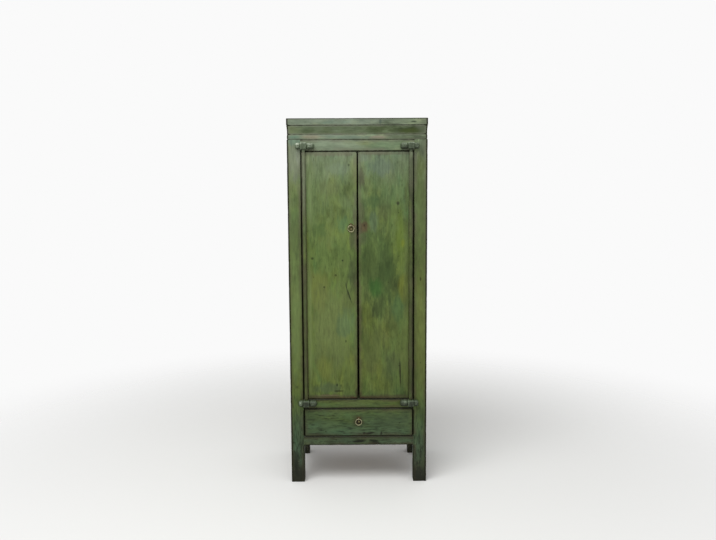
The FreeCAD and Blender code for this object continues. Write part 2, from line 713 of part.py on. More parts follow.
TOP_X = BODY_HALF + TOP_OVERHANG
TOP_FRONT = FRONT - TOP_OVERHANG


def post_tenon(front, slack):
    """Stub on the right-hand post, in the mitre of the top frame."""
    core = post_core(front)
    x = centred((core.x[0] + core.x[1]) / 2.0, POST_STUB_SHARE * (core.x[1] - core.x[0]))
    y = centred((core.y[0] + core.y[1]) / 2.0, POST_STUB_SHARE * (core.y[1] - core.y[0]))
    return Box(x, y, (FRIEZE_TOP, FRIEZE_TOP + POST_STUB_SHARE * TOP_THICKNESS)).grown(slack)


def post_core(front):
    """Part of a right-hand post that rises behind the cornice."""
    thin = CORNICE_THICKNESS + CORNICE_INSET + JOINT_SLACK
    x = (POST_INNER, BODY_HALF - thin)
    if front:
        return Box(x, (FRONT + thin, FRONT_POST_BACK), (TOP_RAIL_TOP, FRIEZE_TOP))
    return Box(x, (REAR_POST_FRONT, BACK - thin), (TOP_RAIL_TOP, FRIEZE_TOP))


def top_panel_body():
    """Floating panel of the top, flush with the frame."""
    gap = TOP_PANEL_GAP
    return Box(
        (-TOP_X + TOP_FRAME_WIDTH + gap, TOP_X - TOP_FRAME_WIDTH - gap),
        (TOP_FRONT + TOP_FRAME_WIDTH + gap, BACK - TOP_FRAME_WIDTH - gap),
        (CABINET_TOP - TOP_PANEL_THICKNESS, CABINET_TOP),
    )


def top_panel_tongue():
    """Tongue round the panel, inside the groove of the frame."""
    body = top_panel_body()
    low = CABINET_TOP - TOP_PANEL_THICKNESS
    reach = GROOVE_DEPTH - TOP_PANEL_GAP
    return Box(
        (body.x[0] - reach, body.x[1] + reach),
        (body.y[0] - reach, body.y[1] + reach),
        (low, low + TOP_PANEL_TONGUE),
    )


def make_top_frame():
    """Front, back and right members of the top frame, mitred at the corners."""
    x0, x1 = -TOP_X, TOP_X
    y0, y1 = TOP_FRONT, BACK
    w = TOP_FRAME_WIDTH
    low = FRIEZE_TOP
    outer = [vector(x0, y0, low), vector(x1, y0, low), vector(x1, y1, low), vector(x0, y1, low)]
    inner = [
        vector(x0 + w, y0 + w, low),
        vector(x1 - w, y0 + w, low),
        vector(x1 - w, y1 - w, low),
        vector(x0 + w, y1 - w, low),
    ]
    rise = vector(0, 0, TOP_THICKNESS)
    cuts = [top_panel_tongue().grown(JOINT_SLACK).solid()]
    for front in (True, False):
        stub = post_tenon(front, JOINT_SLACK).solid()
        cuts += [stub, mirrored(stub)]
    members = []
    for a, b in ((0, 1), (2, 3), (1, 2)):
        members.append(prism([outer[a], outer[b], inner[b], inner[a]], rise).cut(cuts))
    return members


def make_top_panel():
    return united([top_panel_body().solid(), top_panel_tongue().solid()])


# Posts and rails, cut for everything that enters them

def make_post(front):
    """Right-hand front or rear post, down to the floor as a leg."""
    y = (FRONT, FRONT_POST_BACK) if front else (REAR_POST_FRONT, BACK)
    body = Box((POST_INNER, BODY_HALF), y, (0.0, TOP_RAIL_TOP))
    post = united([body.solid(), post_core(front).solid(), post_tenon(front, 0.0).solid()])
    cuts = []
    for level in RAIL_LEVELS.values():
        cross_y = FRONT_RAIL_Y if front else REAR_RAIL_Y
        cuts.append(cross_rail(cross_y, level)[1])
        cuts.append(side_rail(level)[1 if front else 2])
    for number in range(1, len(SHELF_NAMES) + 1):
        cuts.append(bearer_boxes(number)[1 if front else 2])
    cuts += SIDE_PANELS.values()
    if not front:
        cuts += BACK_PANELS.values()
    tools = [box.grown(JOINT_SLACK).solid() for box in cuts]
    if front:
        tools += block_nails(NAIL_SLACK)
    return post.cut(tools)


def make_cross_rail(y, name):
    """Front or rear rail with a tenon at each end."""
    body, tenon = cross_rail(y, RAIL_LEVELS[name])
    tenon_solid = tenon.solid()
    return united([body.solid(), tenon_solid, mirrored(tenon_solid)])


def door_stop(low, high):
    """Lip behind the doors, clear of the pivot stiles."""
    half = PIVOT_X - BEAD_RADIUS - DOOR_TONGUE_LENGTH
    y = (FRONT + DOOR_THICKNESS + DOOR_STOP_GAP, FRONT_RAIL_Y[1])
    return Box((-half, half), y, (low, high)).solid()


def make_front_rails():
    runner_stubs = [runner_boxes()[1].grown(JOINT_SLACK).solid()]
    runner_stubs += [mirrored(stub) for stub in runner_stubs]
    nails = block_nails(NAIL_SLACK)
    floor = FLOOR_BOX.grown(JOINT_SLACK).solid()
    bottom = make_cross_rail(FRONT_RAIL_Y, "bottom").cut(runner_stubs)
    lower_lip = door_stop(MIDDLE_RAIL_TOP, MIDDLE_RAIL_TOP + DOOR_STOP_HEIGHT)
    middle = united([make_cross_rail(FRONT_RAIL_Y, "middle"), lower_lip]).cut([floor] + nails)
    upper_lip = door_stop(TOP_RAIL_LOW - DOOR_STOP_HEIGHT, TOP_RAIL_LOW)
    top = united([make_cross_rail(FRONT_RAIL_Y, "top"), upper_lip]).cut(nails)
    return {"bottom": bottom, "middle": middle, "top": top}


def make_rear_rails():
    panels = [box.grown(JOINT_SLACK).solid() for box in BACK_PANELS.values()]
    runner_stubs = [runner_boxes()[2].grown(JOINT_SLACK).solid()]
    runner_stubs += [mirrored(stub) for stub in runner_stubs]
    floor = FLOOR_BOX.grown(JOINT_SLACK).solid()
    cuts = panels + runner_stubs + [floor]
    return {name: make_cross_rail(REAR_RAIL_Y, name).cut(cuts) for name in RAIL_LEVELS}


def make_side_rails():
    cuts = [box.grown(JOINT_SLACK).solid() for box in SIDE_PANELS.values()]
    cuts.append(FLOOR_BOX.grown(JOINT_SLACK).solid())
    return {
        name: united([box.solid() for box in side_rail(level)]).cut(cuts)
        for name, level in RAIL_LEVELS.items()
    }


def pair(nodes, pattern, right_shape):
    """Store a right-hand shape and its left-hand twin."""
    nodes[pattern.format("right")] = right_shape
    nodes[pattern.format("left")] = mirrored(right_shape)


def make_nodes():
    nodes = {}
    pair(nodes, "front_{}_post", make_post(True))
    pair(nodes, "rear_{}_post", make_post(False))
    for name, rail in make_front_rails().items():
        nodes["front_" + name + "_rail"] = rail
    for name, rail in make_rear_rails().items():
        nodes["rear_" + name + "_rail"] = rail
    for name, rail in make_side_rails().items():
        pair(nodes, "{}_" + name + "_rail", rail)
    for name, box in SIDE_PANELS.items():
        pair(nodes, "{}_" + name + "_panel", box.solid())
    for name, box in BACK_PANELS.items():
        nodes["back_" + name + "_panel"] = box.solid()

    nodes["cabinet_floor"] = make_floor()
    for number, name in enumerate(SHELF_NAMES, start=1):
        nodes[name + "_shelf"] = make_shelf(number)
    nodes["shelf_bearers"] = make_bearers()
    nodes["drawer_runners"] = make_runners()
    nodes["drawer_kickers"] = make_kickers()

    cornice_front, cornice_side, cornice_back = make_cornice()
    nodes["cornice_front"] = cornice_front
    pair(nodes, "cornice_{}", cornice_side)
    nodes["cornice_back"] = cornice_back
    frame_front, frame_back, frame_side = make_top_frame()
    nodes["top_frame_front"] = frame_front
    nodes["top_frame_back"] = frame_back
    pair(nodes, "top_frame_{}", frame_side)
    nodes["top_panel"] = make_top_panel()

    pair(nodes, "upper_{}_pivot_block", make_block(True))
    pair(nodes, "lower_{}_pivot_block", make_block(False))
    nodes["pivot_block_nails"] = Part.makeCompound(block_nails(0.0))

    pair(nodes, "{}_door_board", make_door_board())
    pair(nodes, "{}_door_stile", make_stile())
    pair(nodes, "{}_door_battens", make_battens())
    pair(nodes, "{}_door_pull_eye", make_eye(PULL_X, PULL_Z, DOOR_THICKNESS))
    nodes["left_door_pull_rosette"] = mirrored(make_rosette(PULL_X, PULL_Z))
    nodes["left_door_pull_ring"] = mirrored(make_ring(PULL_X, PULL_Z))

    nodes["drawer_front"] = make_drawer_front()
    pair(nodes, "drawer_{}_side", make_drawer_side())
    nodes["drawer_back"] = DRAWER_BACK_BOX.solid()
    nodes["drawer_bottom"] = DRAWER_BOTTOM_BOX.solid()
    nodes["drawer_pull_eye"] = make_eye(0.0, DRAWER_PULL_Z, DRAWER_FRONT_THICKNESS)
    nodes["drawer_pull_rosette"] = make_rosette(0.0, DRAWER_PULL_Z)
    nodes["drawer_pull_ring"] = make_ring(0.0, DRAWER_PULL_Z)
    return nodes


for node, shape in make_nodes().items():
    shape.exportStep("parts/" + node + ".step")
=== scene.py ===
"""Dresses a tall two-door cabinet in old green lacquer, bare softwood, brass and iron."""

import json
import logging
import math
import zlib
from dataclasses import dataclass
from enum import Enum
from typing import Any, Callable, NamedTuple, Sequence, Union

import bmesh
import bpy
from mathutils import Matrix, Vector, noise

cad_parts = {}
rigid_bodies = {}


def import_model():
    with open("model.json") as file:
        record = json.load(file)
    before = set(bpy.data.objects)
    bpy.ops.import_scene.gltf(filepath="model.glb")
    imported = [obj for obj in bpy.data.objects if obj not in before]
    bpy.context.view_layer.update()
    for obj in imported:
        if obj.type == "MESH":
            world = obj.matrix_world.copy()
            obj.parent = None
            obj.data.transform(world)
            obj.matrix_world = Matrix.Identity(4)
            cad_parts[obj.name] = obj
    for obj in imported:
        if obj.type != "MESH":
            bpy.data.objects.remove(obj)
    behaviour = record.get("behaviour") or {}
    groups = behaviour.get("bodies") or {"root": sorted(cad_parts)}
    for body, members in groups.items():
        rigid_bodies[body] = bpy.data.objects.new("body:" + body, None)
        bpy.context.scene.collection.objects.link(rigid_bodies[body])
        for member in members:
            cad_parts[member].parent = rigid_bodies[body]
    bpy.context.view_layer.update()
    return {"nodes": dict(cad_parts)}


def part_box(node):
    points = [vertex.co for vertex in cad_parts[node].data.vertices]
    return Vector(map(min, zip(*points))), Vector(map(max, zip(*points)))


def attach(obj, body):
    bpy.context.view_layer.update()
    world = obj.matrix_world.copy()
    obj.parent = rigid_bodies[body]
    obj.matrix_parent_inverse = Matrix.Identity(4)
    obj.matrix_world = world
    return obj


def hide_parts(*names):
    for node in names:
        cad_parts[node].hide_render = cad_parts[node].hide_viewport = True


for startup in list(bpy.data.objects):
    bpy.data.objects.remove(startup)
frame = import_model()

log = logging.getLogger("cabinet")

# The cabinet's sizes are written in millimetres; the scene and the studio count in metres.
MM = 0.001
CABINET_HEIGHT = 1546.0
# Distances from an arris at which a worn skin has its closer rows, and how clear of the middle they stay
NEAR_STOPS = (2.0, 5.0, 10.0, 18.0, 30.0)
MIDDLE_GAP = 0.5
# Greatest distance between rows on pieces that are seldom seen
PLAIN_STEP = 30.0
# Points round a rounded arris, and the least turn that is rounded
ARC_POINTS = 4
LEAST_TURN = 0.2
# How far the rounded arris lies inside its sharp corner, as a share of its radius
ARRIS_DEPTH = 0.42
# Distance that counts as clear of every arris, and the one that stands for an unworn arris
FREE_EDGE = 60.0
UNWORN_EDGE = 8.0
# Rings that close a free end, as shares of the section, and how far the rounded end draws in
CAP_SHRINKS = (0.6, 0.86)
END_INSET = 0.85
# Lengths of the planing waves and of the bruises, and how far a bruise reaches from an arris
LONG_WAVE = 170.0
SHORT_WAVE = 23.0
SHORT_WAVE_SHARE = 0.35
BRUISE_LENGTH = 13.0
BRUISE_ONSET = 0.15
BRUISE_REACH = 5.0
# A timber's label picks one of this many shifts of its noise, which lie these steps apart.
SHIFT_STEPS = (0.37, 0.61, 0.23)
SHIFT_COUNT = 997
# Faces that meet at more than this angle keep a sharp edge.
SMOOTH_LIMIT = math.radians(42.0)
# Points of a CAD copy that lie this close are joined, and so are faces that meet at less than this angle.
MERGE_REACH = 0.01
FLAT_LIMIT = math.radians(0.5)
# Faces that look this squarely inwards take the lining.
LINING_LIMIT = 0.9

# A timber ends at a fixed place, or at a cut that depends on the place in its section.
End = Union[float, Callable[[float, float], float]]


# Colours, nodes and texture scales

def linear(code: str) -> tuple[float, float, float, float]:
    """Turns an sRGB hex colour into linear light.

    Args:
        code: Colour written as #rrggbb.

    Returns:
        Red, green, blue and a full alpha.
    """
    channels = [int(code[start:start + 2], 16) / 255.0 for start in (1, 3, 5)]
    lit = [c / 12.92 if c <= 0.04045 else ((c + 0.055) / 1.055) ** 2.4 for c in channels]
    return lit[0], lit[1], lit[2], 1.0


def across_mm(*sizes: float) -> tuple[float, ...]:
    """Texture scale, axis by axis, whose features are about these sizes in millimetres."""
    return tuple(1.0 / (size * MM) for size in sizes)


def add(tree: bpy.types.NodeTree, kind: str, feeds: dict[Any, Any] | None = None,
        **settings: Any) -> bpy.types.Node:
    """Adds one node, sets its properties and feeds its inputs.

    Args:
        tree: Shader or geometry tree that takes the node.
        kind: Blender's name of the node type.
        feeds: Input name or number against a socket, a node or a plain value.
        settings: Properties of the node.

    Returns:
        The new node.
    """
    node = tree.nodes.new(kind)
    for name, value in settings.items():
        setattr(node, name, value)
    for key, value in (feeds or {}).items():
        if isinstance(key, int):
            socket = node.inputs[key]
        else:
            socket = next(s for s in node.inputs if s.enabled and s.name == key)
        if isinstance(value, bpy.types.Node):
            value = next(s for s in value.outputs if s.enabled)
        if isinstance(value, bpy.types.NodeSocket):
            tree.links.new(value, socket)
        else:
            socket.default_value = value
    return node


def fill_ramp(node: bpy.types.Node, stops: Sequence[tuple[float, str]]) -> None:
    """Writes colour stops into a colour ramp.

    Args:
        node: The ramp's node.
        stops: Place from 0 to 1 and hex colour of each stop, in order.
    """
    elements = node.color_ramp.elements
    while len(elements) < len(stops):
        elements.new(1.0)
    for element, (place, code) in zip(elements, stops):
        element.position = place
        element.color = linear(code)


def blank_material(name: str) -> tuple[bpy.types.Material, bpy.types.NodeTree]:
    """Makes a material with an empty node tree and returns both."""
    material = bpy.data.materials.new(name)
    material.use_nodes = True
    material.node_tree.nodes.clear()
    return material, material.node_tree


class Slope(NamedTuple):
    """A value that runs from start to end while its source runs from low to high."""

    low: float
    high: float
    start: float = 0.0
    end: float = 1.0

    def feeds(self, source: Any, unit: float = 1.0) -> dict[str, Any]:
        """Inputs of the node that follows this slope.

        Args:
            source: Node or socket that is read.
            unit: What one step of low and high is in the source's own measure.

        Returns:
            Input name against value.
        """
        return {
            "Value": source, "From Min": self.low * unit, "From Max": self.high * unit,
            "To Min": self.start, "To Max": self.end}


class Blotch(NamedTuple):
    """An even noise: its size in millimetres, its detail and its roughness."""

    size: float
    detail: float
    roughness: float

    def feeds(self, place: Any) -> dict[str, Any]:
        """Inputs of the node that draws the noise at a place."""
        scale = across_mm(self.size)[0]
        return {"Vector": place, "Scale": scale, "Detail": self.detail, "Roughness": self.roughness}


class Streaks(NamedTuple):
    """A noise drawn out along the grain: its sizes in millimetres, its detail and its roughness."""

    across: float
    along: float
    detail: float = 4.0
    roughness: float = 0.6

    def draw(self, tree: bpy.types.NodeTree, timber: Any, shift: float = 0.0) -> bpy.types.Node:
        """Adds the noise to a material.

        Args:
            tree: The material's tree.
            timber: Position across and along the piece's own grain.
            shift: Moves the noise, so that it differs from others of its size.

        Returns:
            The node that carries the noise.
        """
        sizes = across_mm(self.across, self.across, self.along)
        scaled = add(tree, "ShaderNodeVectorMath", {
            0: timber, 1: sizes, 2: (shift, 0.0, 0.0)}, operation="MULTIPLY_ADD")
        return add(tree, "ShaderNodeTexNoise", {
            "Vector": scaled, "Scale": 1.0, "Detail": self.detail, "Roughness": self.roughness})


class Side(Enum):
    """The two hands of the cabinet, seen from the front."""

    LEFT = -1.0
    RIGHT = 1.0

    @property
    def word(self) -> str:
        """The word used in node names."""
        return self.name.lower()

    def range(self, inner: float, outer: float) -> tuple[float, float]:
        """The range of x on this side between two distances from the middle."""
        low, high = sorted((self.value * inner, self.value * outer))
        return low, high


# Finishes

class Mark(NamedTuple):
    """A stain, patch or scratch on the front, or painted shade or light there, in millimetres from the
    middle of the floor.
    """

    x: float
    z: float
    half_width: float
    half_height: float
    colour: str
    strength: float
    tilt: float = 0.0


# Faded and touched-up patches, hand stains at the pull and the meeting edge, scratches and dings, painted
# shade beside the stile and painted light below the upper block
LEFT_DOOR_MARKS = (
    Mark(-27.0, 1092.0, 24.0, 26.0, "#4f4a30", 0.65),
    Mark(-14.0, 1103.0, 14.0, 11.0, "#5e4e38", 0.75),
    Mark(-27.5, 1093.0, 12.0, 12.0, "#3b311b", 0.90),
    Mark(-26.5, 1092.0, 4.0, 4.0, "#9a9168", 1.00),
    Mark(-24.0, 1048.0, 22.0, 40.0, "#4b5038", 0.60),
    Mark(-12.0, 1150.0, 10.0, 60.0, "#565742", 0.60),
    Mark(-24.0, 905.0, 20.0, 75.0, "#3d452c", 0.65),
    Mark(-84.0, 1338.0, 50.0, 28.0, "#74836a", 0.55),
    # Painted light: lifts the shade in the corner below the upper left block.
    Mark(-206.0, 1385.0, 12.0, 34.0, "#8c9672", 0.60),
    Mark(-56.0, 1200.0, 24.0, 26.0, "#708455", 0.45),
    Mark(-120.0, 1262.0, 50.0, 34.0, "#66714a", 0.55),
    Mark(-62.0, 1110.0, 32.0, 46.0, "#54724b", 0.60),
    Mark(-222.0, 1290.0, 11.0, 130.0, "#858e73", 0.75),
    Mark(-158.0, 1085.0, 40.0, 36.0, "#4a5f33", 0.60),
    Mark(-165.0, 830.0, 46.0, 95.0, "#727a3c", 0.60),
    Mark(-110.0, 680.0, 95.0, 190.0, "#6d7949", 0.48),
    Mark(-48.0, 690.0, 44.0, 66.0, "#59704a", 0.60),
    Mark(-140.0, 500.0, 36.0, 50.0, "#687033", 0.55),
    Mark(-125.0, 414.0, 76.0, 26.0, "#46543a", 0.60),
    Mark(-91.0, 428.0, 3.5, 7.0, "#1c2410", 0.95),
    Mark(-74.0, 425.0, 3.0, 8.0, "#242c15", 0.85),
    Mark(-80.0, 401.0, 5.0, 24.0, "#272c13", 0.85, 1.55),
    Mark(-125.0, 382.0, 4.0, 62.0, "#857c5c", 0.75, 1.57),
    Mark(-222.0, 680.0, 7.5, 380.0, "#434830", 0.60),
    # Painted shade: a dark strip on the stile's outer edge beside the gap to the post.
    Mark(-229.0, 890.0, 4.2, 800.0, "#1f220d", 0.85),
    # Painted shade in the groove between the stile and the board.
    Mark(-215.5, 590.0, 4.0, 290.0, "#26280f", 0.65),
    Mark(-204.0, 700.0, 11.0, 330.0, "#73824e", 0.62),
    Mark(-110.0, 1400.0, 110.0, 10.0, "#6c6956", 0.50),
    Mark(-110.0, 377.0, 140.0, 12.0, "#403f29", 0.65),
    Mark(-95.0, 372.5, 112.0, 5.5, "#3b2e17", 0.85),
    Mark(-8.0, 371.0, 26.0, 6.0, "#34160c", 0.90),
    Mark(-6.5, 388.0, 7.0, 26.0, "#2b2413", 0.80),
    Mark(-39.0, 819.0, 2.8, 44.0, "#2c341c", 0.90, -0.31),
    Mark(-46.0, 838.0, 2.0, 30.0, "#343c24", 0.70, -0.12),
    Mark(-64.0, 960.0, 4.5, 4.5, "#26311a", 0.90),
    Mark(-191.0, 969.0, 6.0, 6.5, "#2f391a", 0.85),
    Mark(-35.0, 1355.0, 4.5, 6.5, "#384230", 0.70),
    Mark(-199.0, 1240.0, 14.0, 170.0, "#768759", 0.50),
    Mark(-52.0, 617.0, 5.0, 8.0, "#343d22", 0.70),
)
# The same on the right door, with the stain of its lost ring and painted shade beside the stile
RIGHT_DOOR_MARKS = (
    Mark(22.0, 1097.0, 34.0, 26.0, "#5c5138", 0.95),
    Mark(24.0, 1050.0, 20.0, 36.0, "#4d5238", 0.60),
    Mark(16.0, 1160.0, 14.0, 50.0, "#55573f", 0.55),
    Mark(18.0, 1300.0, 16.0, 48.0, "#585643", 0.60),
    Mark(95.0, 920.0, 95.0, 170.0, "#465830", 0.60),
    Mark(120.0, 905.0, 46.0, 60.0, "#3d5029", 0.60),
    Mark(76.0, 838.0, 36.0, 48.0, "#38602a", 0.75),
    Mark(96.0, 770.0, 38.0, 60.0, "#414f2b", 0.65),
    Mark(140.0, 860.0, 26.0, 34.0, "#414b29", 0.35),
    Mark(37.0, 805.0, 17.0, 32.0, "#3f4c28", 0.55),
    Mark(31.0, 1260.0, 20.0, 26.0, "#4a5638", 0.55),
    Mark(168.0, 762.0, 28.0, 52.0, "#4e6c40", 0.65),
    Mark(178.0, 1060.0, 26.0, 95.0, "#647830", 0.60),
    Mark(190.0, 1030.0, 12.0, 22.0, "#78832b", 0.55),
    Mark(190.0, 850.0, 18.0, 60.0, "#767d31", 0.55),
    Mark(62.0, 1205.0, 40.0, 40.0, "#425c39", 0.60),
    Mark(118.0, 1165.0, 40.0, 36.0, "#56603a", 0.50),
    Mark(112.0, 1208.0, 22.0, 20.0, "#687c4c", 0.45),
    Mark(66.0, 1120.0, 20.0, 46.0, "#627656", 0.60),
    Mark(100.0, 1345.0, 60.0, 44.0, "#687865", 0.65),
    Mark(24.0, 1385.0, 26.0, 20.0, "#78866f", 0.65),
    Mark(70.0, 590.0, 60.0, 110.0, "#555f34", 0.55),
    Mark(145.0, 520.0, 36.0, 60.0, "#52613a", 0.50),
    Mark(222.0, 800.0, 7.5, 560.0, "#444a2f", 0.60),
    # Painted shade: a dark strip on the stile's outer edge beside the gap to the post.
    Mark(229.0, 890.0, 4.6, 800.0, "#1b1e0b", 0.88),
    Mark(203.0, 850.0, 11.0, 420.0, "#6a7743", 0.45),
    Mark(222.0, 1300.0, 10.0, 130.0, "#4a503a", 0.60),
    Mark(110.0, 1402.0, 100.0, 8.0, "#62604d", 0.50),
    Mark(110.0, 375.0, 140.0, 11.0, "#43422a", 0.65),
    Mark(70.0, 372.0, 90.0, 5.5, "#352912", 0.85),
    Mark(12.0, 371.0, 20.0, 6.0, "#34160c", 0.85),
    Mark(8.0, 385.0, 6.0, 18.0, "#3a2c18", 0.65),
    Mark(177.5, 480.0, 2.6, 48.0, "#22230f", 0.90, -0.03),
    Mark(168.0, 1198.0, 7.0, 9.0, "#333822", 0.85, 0.2),
)
# Patches on the posts, rails and crown, painted shade on the frieze and neck, painted light below the upper
# left block, and dirt at the feet
CASE_MARKS = (
    Mark(-262.0, 1370.0, 34.0, 90.0, "#7a826d", 0.75),
    # Painted light: lifts the shade on the post below the upper left block.
    Mark(-243.0, 1392.0, 11.0, 44.0, "#8f9884", 0.65),
    Mark(-262.0, 780.0, 30.0, 330.0, "#6a7a49", 0.60),
    Mark(262.0, 700.0, 30.0, 260.0, "#666e38", 0.60),
    Mark(262.0, 1180.0, 32.0, 260.0, "#58643a", 0.72),
    # Partly painted shade and partly dark patches: the frieze is darkened towards the right.
    Mark(120.0, 1498.0, 120.0, 27.0, "#414d30", 0.92),
    Mark(102.0, 1484.0, 46.0, 13.0, "#3f4b2c", 0.55),
    Mark(250.0, 1497.0, 80.0, 28.0, "#353f28", 0.95),
    Mark(-262.0, 30.0, 40.0, 50.0, "#1f2117", 0.75),
    Mark(-276.0, 105.0, 16.0, 40.0, "#1f2318", 0.75),
    Mark(285.0, 1520.0, 45.0, 60.0, "#59624c", 0.80),
    Mark(272.0, 1436.0, 40.0, 48.0, "#56604a", 0.80),
    Mark(140.0, 1440.0, 100.0, 26.0, "#657c5e", 0.65),
    Mark(-90.0, 1437.0, 110.0, 22.0, "#87967d", 0.55),
    # Partly painted shade and partly dark patches: the neck is darkened towards the right.
    Mark(170.0, 1470.0, 170.0, 22.0, "#58634d", 0.75),
    Mark(-262.0, 1462.0, 46.0, 24.0, "#6b8674", 0.60),
    Mark(-40.0, 1470.0, 120.0, 12.0, "#738375", 0.60),
    Mark(-185.0, 1470.0, 50.0, 9.0, "#8a8671", 0.85),
    Mark(88.0, 1469.0, 48.0, 9.0, "#837e6c", 0.85),
    Mark(-200.0, 1494.0, 30.0, 12.0, "#424e33", 0.65),
    Mark(215.0, 1492.0, 46.0, 14.0, "#3e4a20", 0.75),
    Mark(190.0, 1533.0, 120.0, 16.0, "#6a7660", 0.55),
    Mark(232.0, 1531.0, 15.0, 4.0, "#333d2e", 0.85),
    Mark(95.0, 1531.0, 5.0, 12.0, "#48564a", 0.70),
    Mark(0.0, 182.0, 260.0, 24.0, "#3a3f2b", 0.30),
    Mark(5.0, 180.0, 6.0, 30.0, "#11170c", 0.95, 1.50),
    Mark(66.0, 182.0, 6.0, 26.0, "#131a0e", 0.95, 1.65),
    Mark(77.0, 172.0, 5.5, 22.0, "#10150b", 0.95, 1.57),
    Mark(276.0, 88.0, 10.0, 56.0, "#46523a", 0.55),
    Mark(262.0, 28.0, 40.0, 36.0, "#20221a", 0.65),
    Mark(-262.0, 1120.0, 32.0, 120.0, "#57673f", 0.50),
    Mark(263.0, 880.0, 4.0, 9.0, "#2c2d12", 0.80),
    Mark(-262.0, 420.0, 4.0, 7.0, "#2b331c", 0.75),
)
# Stain round the drawer's ring and scuffs along its lower edge
DRAWER_MARKS = (
    Mark(0.0, 270.0, 26.0, 26.0, "#3b3722", 0.65),
    Mark(140.0, 270.0, 100.0, 50.0, "#3c4a31", 0.60),
    Mark(-120.0, 250.0, 60.0, 26.0, "#4a5d3c", 0.45),
    Mark(54.0, 217.0, 8.0, 36.0, "#0b0f07", 1.00, 1.45),
    Mark(97.0, 215.0, 7.5, 12.0, "#0e130a", 1.00, 0.20),
    Mark(23.0, 214.0, 6.5, 10.0, "#10160b", 1.00, 0.60),
    Mark(0.5, 266.0, 13.0, 13.0, "#241d0e", 1.00),
    Mark(1.0, 266.0, 4.0, 4.0, "#8b8257", 1.00),
)


class Tint(NamedTuple):
    """A colour that shows where a noise along the grain runs high."""

    streaks: Streaks
    colour: str
    share: Slope

    def spread(self, tree: bpy.types.NodeTree, timber: Any, shift: float = 0.0) -> bpy.types.Node:
        """Adds the noise to a material and works out how much of the colour shows.

        Args:
            tree: The material's tree.
            timber: Position across and along the piece's own grain.
            shift: Moves the noise, so that it differs from others of its size.

        Returns:
            The node that carries the share.
        """
        return add(tree, "ShaderNodeMapRange", self.share.feeds(self.streaks.draw(tree, timber, shift)))


class Ground(NamedTuple):
    """What the layers of a lacquer share: the tree, places and distances, and common noises."""

    tree: bpy.types.NodeTree
    place: Any
    height: Any
    timber: Any
    edge: Any
    streak: Any
    fleece: Any
    bruise: Any


